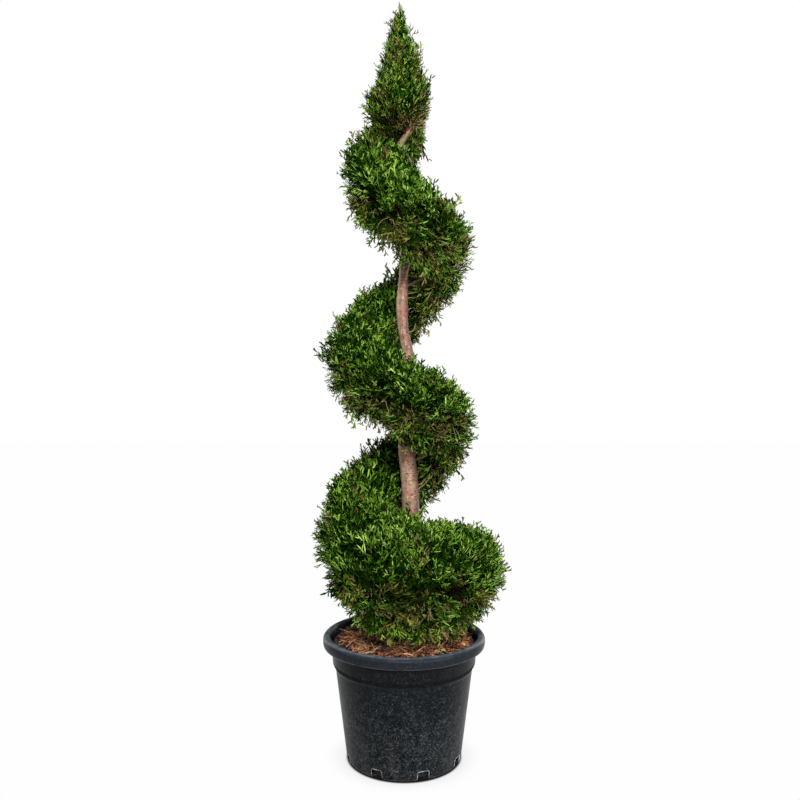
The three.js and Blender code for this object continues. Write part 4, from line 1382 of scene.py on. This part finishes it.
def flash_lines():
    """A thin ragged line of flash round the two sides and the top of each notch."""
    rng = np.random.default_rng(SEED + 8)
    w, h = NOTCH["width"] / 2, NOTCH["height"]
    left = [(-w - 1, 5), (-w, 12), (-w, h - 3), (3 - w, h), (-4, h)]
    path = np.array(left + [(-x, z) for x, z in reversed(left)])
    t = np.linspace(0, len(path) - 1, FLASH_POINTS)
    lines = []
    for out, side in notches():
        across, up = (np.interp(t, range(len(path)), column) + rng.normal(0, RAGGED, t.size)
                      for column in path.T)
        wall = np.interp(up, [POT["foot_round"], POT["wall_top"]], [POT["foot"], POT["wall_top_r"]])
        wall = wall - np.clip(POT["foot_round"] - up, 0, 8) * 0.35
        r = np.sqrt(np.maximum(wall ** 2 - across ** 2, 0)) + 0.2
        line = (out * r[:, None] + side * across[:, None] + UP * up[:, None]) * MM
        lines.append((line, rng.uniform(0.35, 0.95, t.size) * MM))
    return lines


def flash_finish():
    torn = Finish("pot_flash")
    colour = torn.mix(torn.patches(120, 3, 0.4, 0.6), (0.12, 0.12, 0.12), (0.42, 0.41, 0.39))
    return torn.set(base_color=colour, roughness=0.6)


flash = tubes("pot_flash", flash_lines(), 5, flash_finish())
print("flash round", NOTCH["count"], "notches")

# %% [markdown]
# ## Compost and bark mulch
# The surface is coarse shredded bark: red-brown chips, pale straws and dark chips over
# compost; the dark chips are partly crumbs and partly painted shade in the gaps between
# the others. The ground is an uneven body just inside the wall, and the same kind of
# tree as for the sprays scatters five chip shapes in six tints over it, nearly flat.

# %% Ground under the mulch
WALL_GAP = 0.6                   # between compost and pot, in mm
SOIL_SIDES = 120
SURFACE_FOOT = 286.5 * MM        # points above it are the uneven surface
TRUNK_SEAT = 36 * MM             # flat round the trunk, out to here


def soil_profile():
    """Up the inside of the pot and in over the surface, which rises a little."""
    p = POT
    inside = p["wall"] + WALL_GAP
    wall = p["neck_top_r"] - inside
    lower = [(0, p["floor"] + 0.3), (p["foot"] - 12, p["floor"] + 0.3),
             (p["wall_top_r"] - inside, p["wall_top"]),
             (p["neck_foot_r"] - inside, p["neck_foot"]), (wall - 1, 284)]
    top = [(wall * share, 288 + 3.6 * (1 - share)) for share in np.linspace(0.97, 0.02, 46)]
    return np.array(lower + top + [(0, 291.6)]) * MM


def soil_height(x, y):
    """How far the surface stands above its smooth form."""
    u, v = x / 0.4 + 0.5, y / 0.4 + 0.5
    lumps = value_noise(u, v, 11, 11, 21) * 3.2 + value_noise(u, v, 27, 27, 22) * 1.8
    lumps = lumps + value_noise(u, v, 60, 60, 23) * 0.8
    return lumps * MM * np.clip((np.hypot(x, y) - TRUNK_SEAT) / (14 * MM), 0, 1)


def soil_finish():
    """Crumbly red-brown, painted nearly black well below the surface as shade inside the pot."""
    soil = Finish("compost")
    crumbs = soil.mix(soil.patches(55, 5, 0.35, 0.65), (0.026, 0.012, 0.007), (0.085, 0.036, 0.018))
    colour = soil.mix(soil.ramp(soil.height(), 0.10, 0.20), (0.004, 0.003, 0.003), crumbs)
    return soil.set(base_color=colour, roughness=0.95, normal=soil.bump(soil.noise(300, 4), 1.5 * MM))


soil = turned_body("compost_surface", soil_profile(), SOIL_SIDES, soil_finish())
coords = np.empty(len(soil.data.vertices) * 3, np.float32)
soil.data.vertices.foreach_get("co", coords)
coords = coords.reshape(-1, 3)
on_top = coords[:, 2] > SURFACE_FOOT
coords[on_top, 2] += soil_height(coords[on_top, 0], coords[on_top, 1])
soil.data.vertices.foreach_set("co", coords.ravel())
soil.data.update()
print("compost:", len(soil.data.polygons), "faces")

# %% Mulch chips and straws
CHIPS = 3400
CHIP_SHAPES = [(26, 6.5, 3, 1.0), (17, 9, 4, 0.5), (38, 4.5, 2.4, 3),
               (52, 2.8, 1.8, 6), (66, 2.0, 1.4, 10)]    # length, width, thickness, bend
CHIP_SHARES = [0.24, 0.20, 0.24, 0.19, 0.13]
CHIP_ROOM = np.array([14, 10, 20, 27, 34]) * MM          # from its middle to the wall
STRAW = 3                        # shapes from here on are thin straws
STATIONS = 4
# dark: partly crumbs, partly painted shade in the gaps between chips.
CHIP_TINTS = {
    "russet": (0.350, 0.115, 0.040), "brown": (0.125, 0.044, 0.018), "dark": (0.012, 0.006, 0.003),
    "tan": (0.520, 0.255, 0.110), "straw": (0.640, 0.420, 0.200), "pink": (0.540, 0.280, 0.170),
}
TINT_SHARES = [0.34, 0.20, 0.28, 0.09, 0.03, 0.06]
STRAW_TINT = list(CHIP_TINTS).index("straw")


def chip_shape(name, length, width, thick, bend, seed):
    """A torn strip of bark: four stations with a lens section, bent along its length."""
    rng = np.random.default_rng(seed)
    points = []
    for t in np.arange(STATIONS) / (STATIONS - 1):
        taper = 0.45 + 0.55 * math.sin(math.pi * (t * 0.9 + 0.05))
        w, h = width * taper * rng.uniform(0.75, 1.15) / 2, thick * taper / 2
        x, z = (t - 0.5) * length, bend * math.sin(math.pi * t)
        points += [(x, -w, z), (x, 0, z + h), (x, w, z), (x, 0, z - h)]
    faces = grid_faces(STATIONS, 4) + [(0, 3, 2, 1), tuple(range(4 * STATIONS - 4, 4 * STATIONS))]
    return mesh_piece(name, np.array(points) * MM, [reversed(face) for face in faces], smooth=False)


def chip_places():
    rng = np.random.default_rng(SEED + 9)
    edge = (POT["neck_top_r"] - POT["wall"] - 4) * MM
    shape = rng.choice(len(CHIP_SHAPES), CHIPS, p=CHIP_SHARES)
    r = np.sqrt(rng.uniform(0.04, 1, CHIPS)) * (edge - CHIP_ROOM[shape] * 0.92)
    bearing = rng.uniform(0, TURN, CHIPS)
    x, y = r * np.cos(bearing), r * np.sin(bearing)
    ground = 288.5 * MM + 3 * MM * (1 - r / edge) + soil_height(x, y)
    root = np.stack([x, y, ground + rng.uniform(-1, 6.5, CHIPS) * MM], axis=1)
    tip_up = rng.normal(0, 0.20, CHIPS) + (rng.uniform(0, 1, CHIPS) < 0.06) * 0.6
    turned = np.stack([rng.normal(0, 0.45, CHIPS), tip_up, rng.uniform(0, TURN, CHIPS)], axis=1)
    tint = rng.choice(len(CHIP_TINTS), CHIPS, p=TINT_SHARES)
    tint[(shape >= STRAW) & (rng.uniform(0, 1, CHIPS) < 0.16)] = STRAW_TINT
    size = rng.uniform(0.7, 1.15, CHIPS)
    return {"root": root, "turned": turned, "size": size, "shape": shape, "tint": tint}


chip_shelf = shelf("chips", [chip_shape(f"chip_{'abcde'[seed]}", *sizes, seed)
                             for seed, sizes in enumerate(CHIP_SHAPES)])
chip_finishes = [[Finish(f"mulch_{name}").set(base_color=colour, roughness=0.85)]
                 for name, colour in CHIP_TINTS.items()]
mulch = grown("mulch_chips", scatter_tree("mulch", chip_finishes), chip_shelf, chip_places())
print("mulch:", len(mulch.data.polygons), "faces")

# %% [markdown]
# ## Light and floor
# A soft key in front and high up, a fill at the right, one light from above and two
# from behind give the plant its light. Two upright soft strips draw the long highlights
# on the pot's sides. The floor and the surround are white to the camera, but for a
# faint painted shade round the pot's foot and a dim painted line where it stands.

# %% Lights
MIDDLE, POT_MIDDLE = (cad_low + cad_high) / 2, (0, 0, 0.2)
LIGHTS = [                       # name, place, target, width and height, power
    ("key", (0.1, -4.2, 3.2), MIDDLE, (1.2, 1.2), 250),
    ("fill", (2.2, -2.4, 1.3), MIDDLE, (1.6, 1.6), 75),
    ("top", (0.2, 0.3, 4.3), MIDDLE, (0.9, 0.9), 52),
    ("back_left", (-2.4, 2.0, 2.1), MIDDLE, (1.4, 1.4), 42),
    ("back_right", (2.4, 2.0, 2.1), MIDDLE, (1.4, 1.4), 34),
    ("strip_left", (-2.5, 3.0, 0.5), POT_MIDDLE, (0.7, 1.6), 24),
    ("strip_right", (2.5, 3.0, 0.5), POT_MIDDLE, (0.6, 1.6), 32),
]


def area_light(name, place, target, size, power):
    data = bpy.data.lights.new(name, "AREA")
    data.shape = "RECTANGLE"
    data.size, data.size_y = size
    data.energy = power
    light = bpy.data.objects.new(name, data)
    light.location = place
    light.rotation_euler = (Vector(target) - Vector(place)).to_track_quat("-Z", "Y").to_euler()
    bpy.context.collection.objects.link(light)


for row in LIGHTS:
    area_light(*row)
print("lights", len(LIGHTS))

# %% Surround and floor
SURROUND_LIGHT, SURROUND_SEEN = 0.07, 1.0
FLOOR_LIGHT, FLOOR_SEEN = 0.14, 0.99
FOOT_SHADE, CONTACT_SHADE = 0.13, 0.85
FLOOR_HALF, FLOOR_DROP = 14.0, 0.5 * MM


def surround():
    """A white world that lights the plant only a little."""
    world = bpy.data.worlds.new("surround")
    world.use_nodes = True
    sky = Nodes(world.node_tree)
    seen = sky.add("ShaderNodeLightPath", output="Is Camera Ray")
    strength = seen * (SURROUND_SEEN - SURROUND_LIGHT) + SURROUND_LIGHT
    background = world.node_tree.nodes["Background"]
    background.inputs["Color"].default_value = (1, 1, 1, 1)
    world.node_tree.links.new(strength.socket, background.inputs["Strength"])
    return world


def floor_finish():
    """White paint that gives little light of its own, with the shade painted in."""
    paint = Finish("floor_paint")

    def within(near, far, place):
        """1 where the place is less than near from the middle, and 0 beyond far."""
        distance = paint.add("ShaderNodeVectorMath", {"operation": "LENGTH"}, [place], 1)
        return paint.ramp(distance, far, near) ** 2

    seen = paint.add("ShaderNodeLightPath", output="Is Camera Ray")
    shifted = paint.add("ShaderNodeVectorMath", {"operation": "ADD"}, [paint.at(), (0, 0.004, 0)])
    shade = within(0.135, 0.215, paint.at()) * FOOT_SHADE
    shade = shade + within(0.1385, 0.1490, shifted) * CONTACT_SHADE
    return paint.set(base_color=paint.mix(seen, (0.75, 0.75, 0.75), (0.0, 0.0, 0.0)), roughness=0.9,
                     specular_ior_level=0.0, emission_color=(1, 1, 1),
                     emission_strength=seen * (FLOOR_SEEN - FLOOR_LIGHT - shade) + FLOOR_LIGHT)


bpy.context.scene.world = surround()
corners = np.array([(-1, -1, 0), (1, -1, 0), (1, 1, 0), (-1, 1, 0)]) * FLOOR_HALF - UP * FLOOR_DROP
floor = mesh_piece("floor", corners, [(0, 1, 2, 3)], [floor_finish()], smooth=False)
bpy.context.scene.view_settings.view_transform = "Standard"
print("floor", 2 * FLOOR_HALF, "m wide")

# %% [markdown]
# ## Everything rides on the plant
# Nothing moves, so each piece rides on the one body and stands for its solid of the
# frame.

# %% Ride and replace
def settle(piece, slot, *nodes):
    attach(piece, "root")
    if nodes:
        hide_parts(*nodes)


settle(pot, "pot_plastic", "pot")
settle(flash, "pot_plastic")
settle(soil, "compost", "compost")
settle(mulch, "compost")
settle(trunk, "bark", "trunk")
settle(stubs, "bark")
for node, piece in boughs:
    settle(piece, "bough_bark", node)
settle(fork_twigs, "bough_bark")
for node, sprays, twigs in foliage:
    settle(sprays, "foliage", node)
    settle(twigs, "bough_bark")

# %% Sizes
print("cad", [round(v, 3) for v in (*cad_low, *cad_high)])
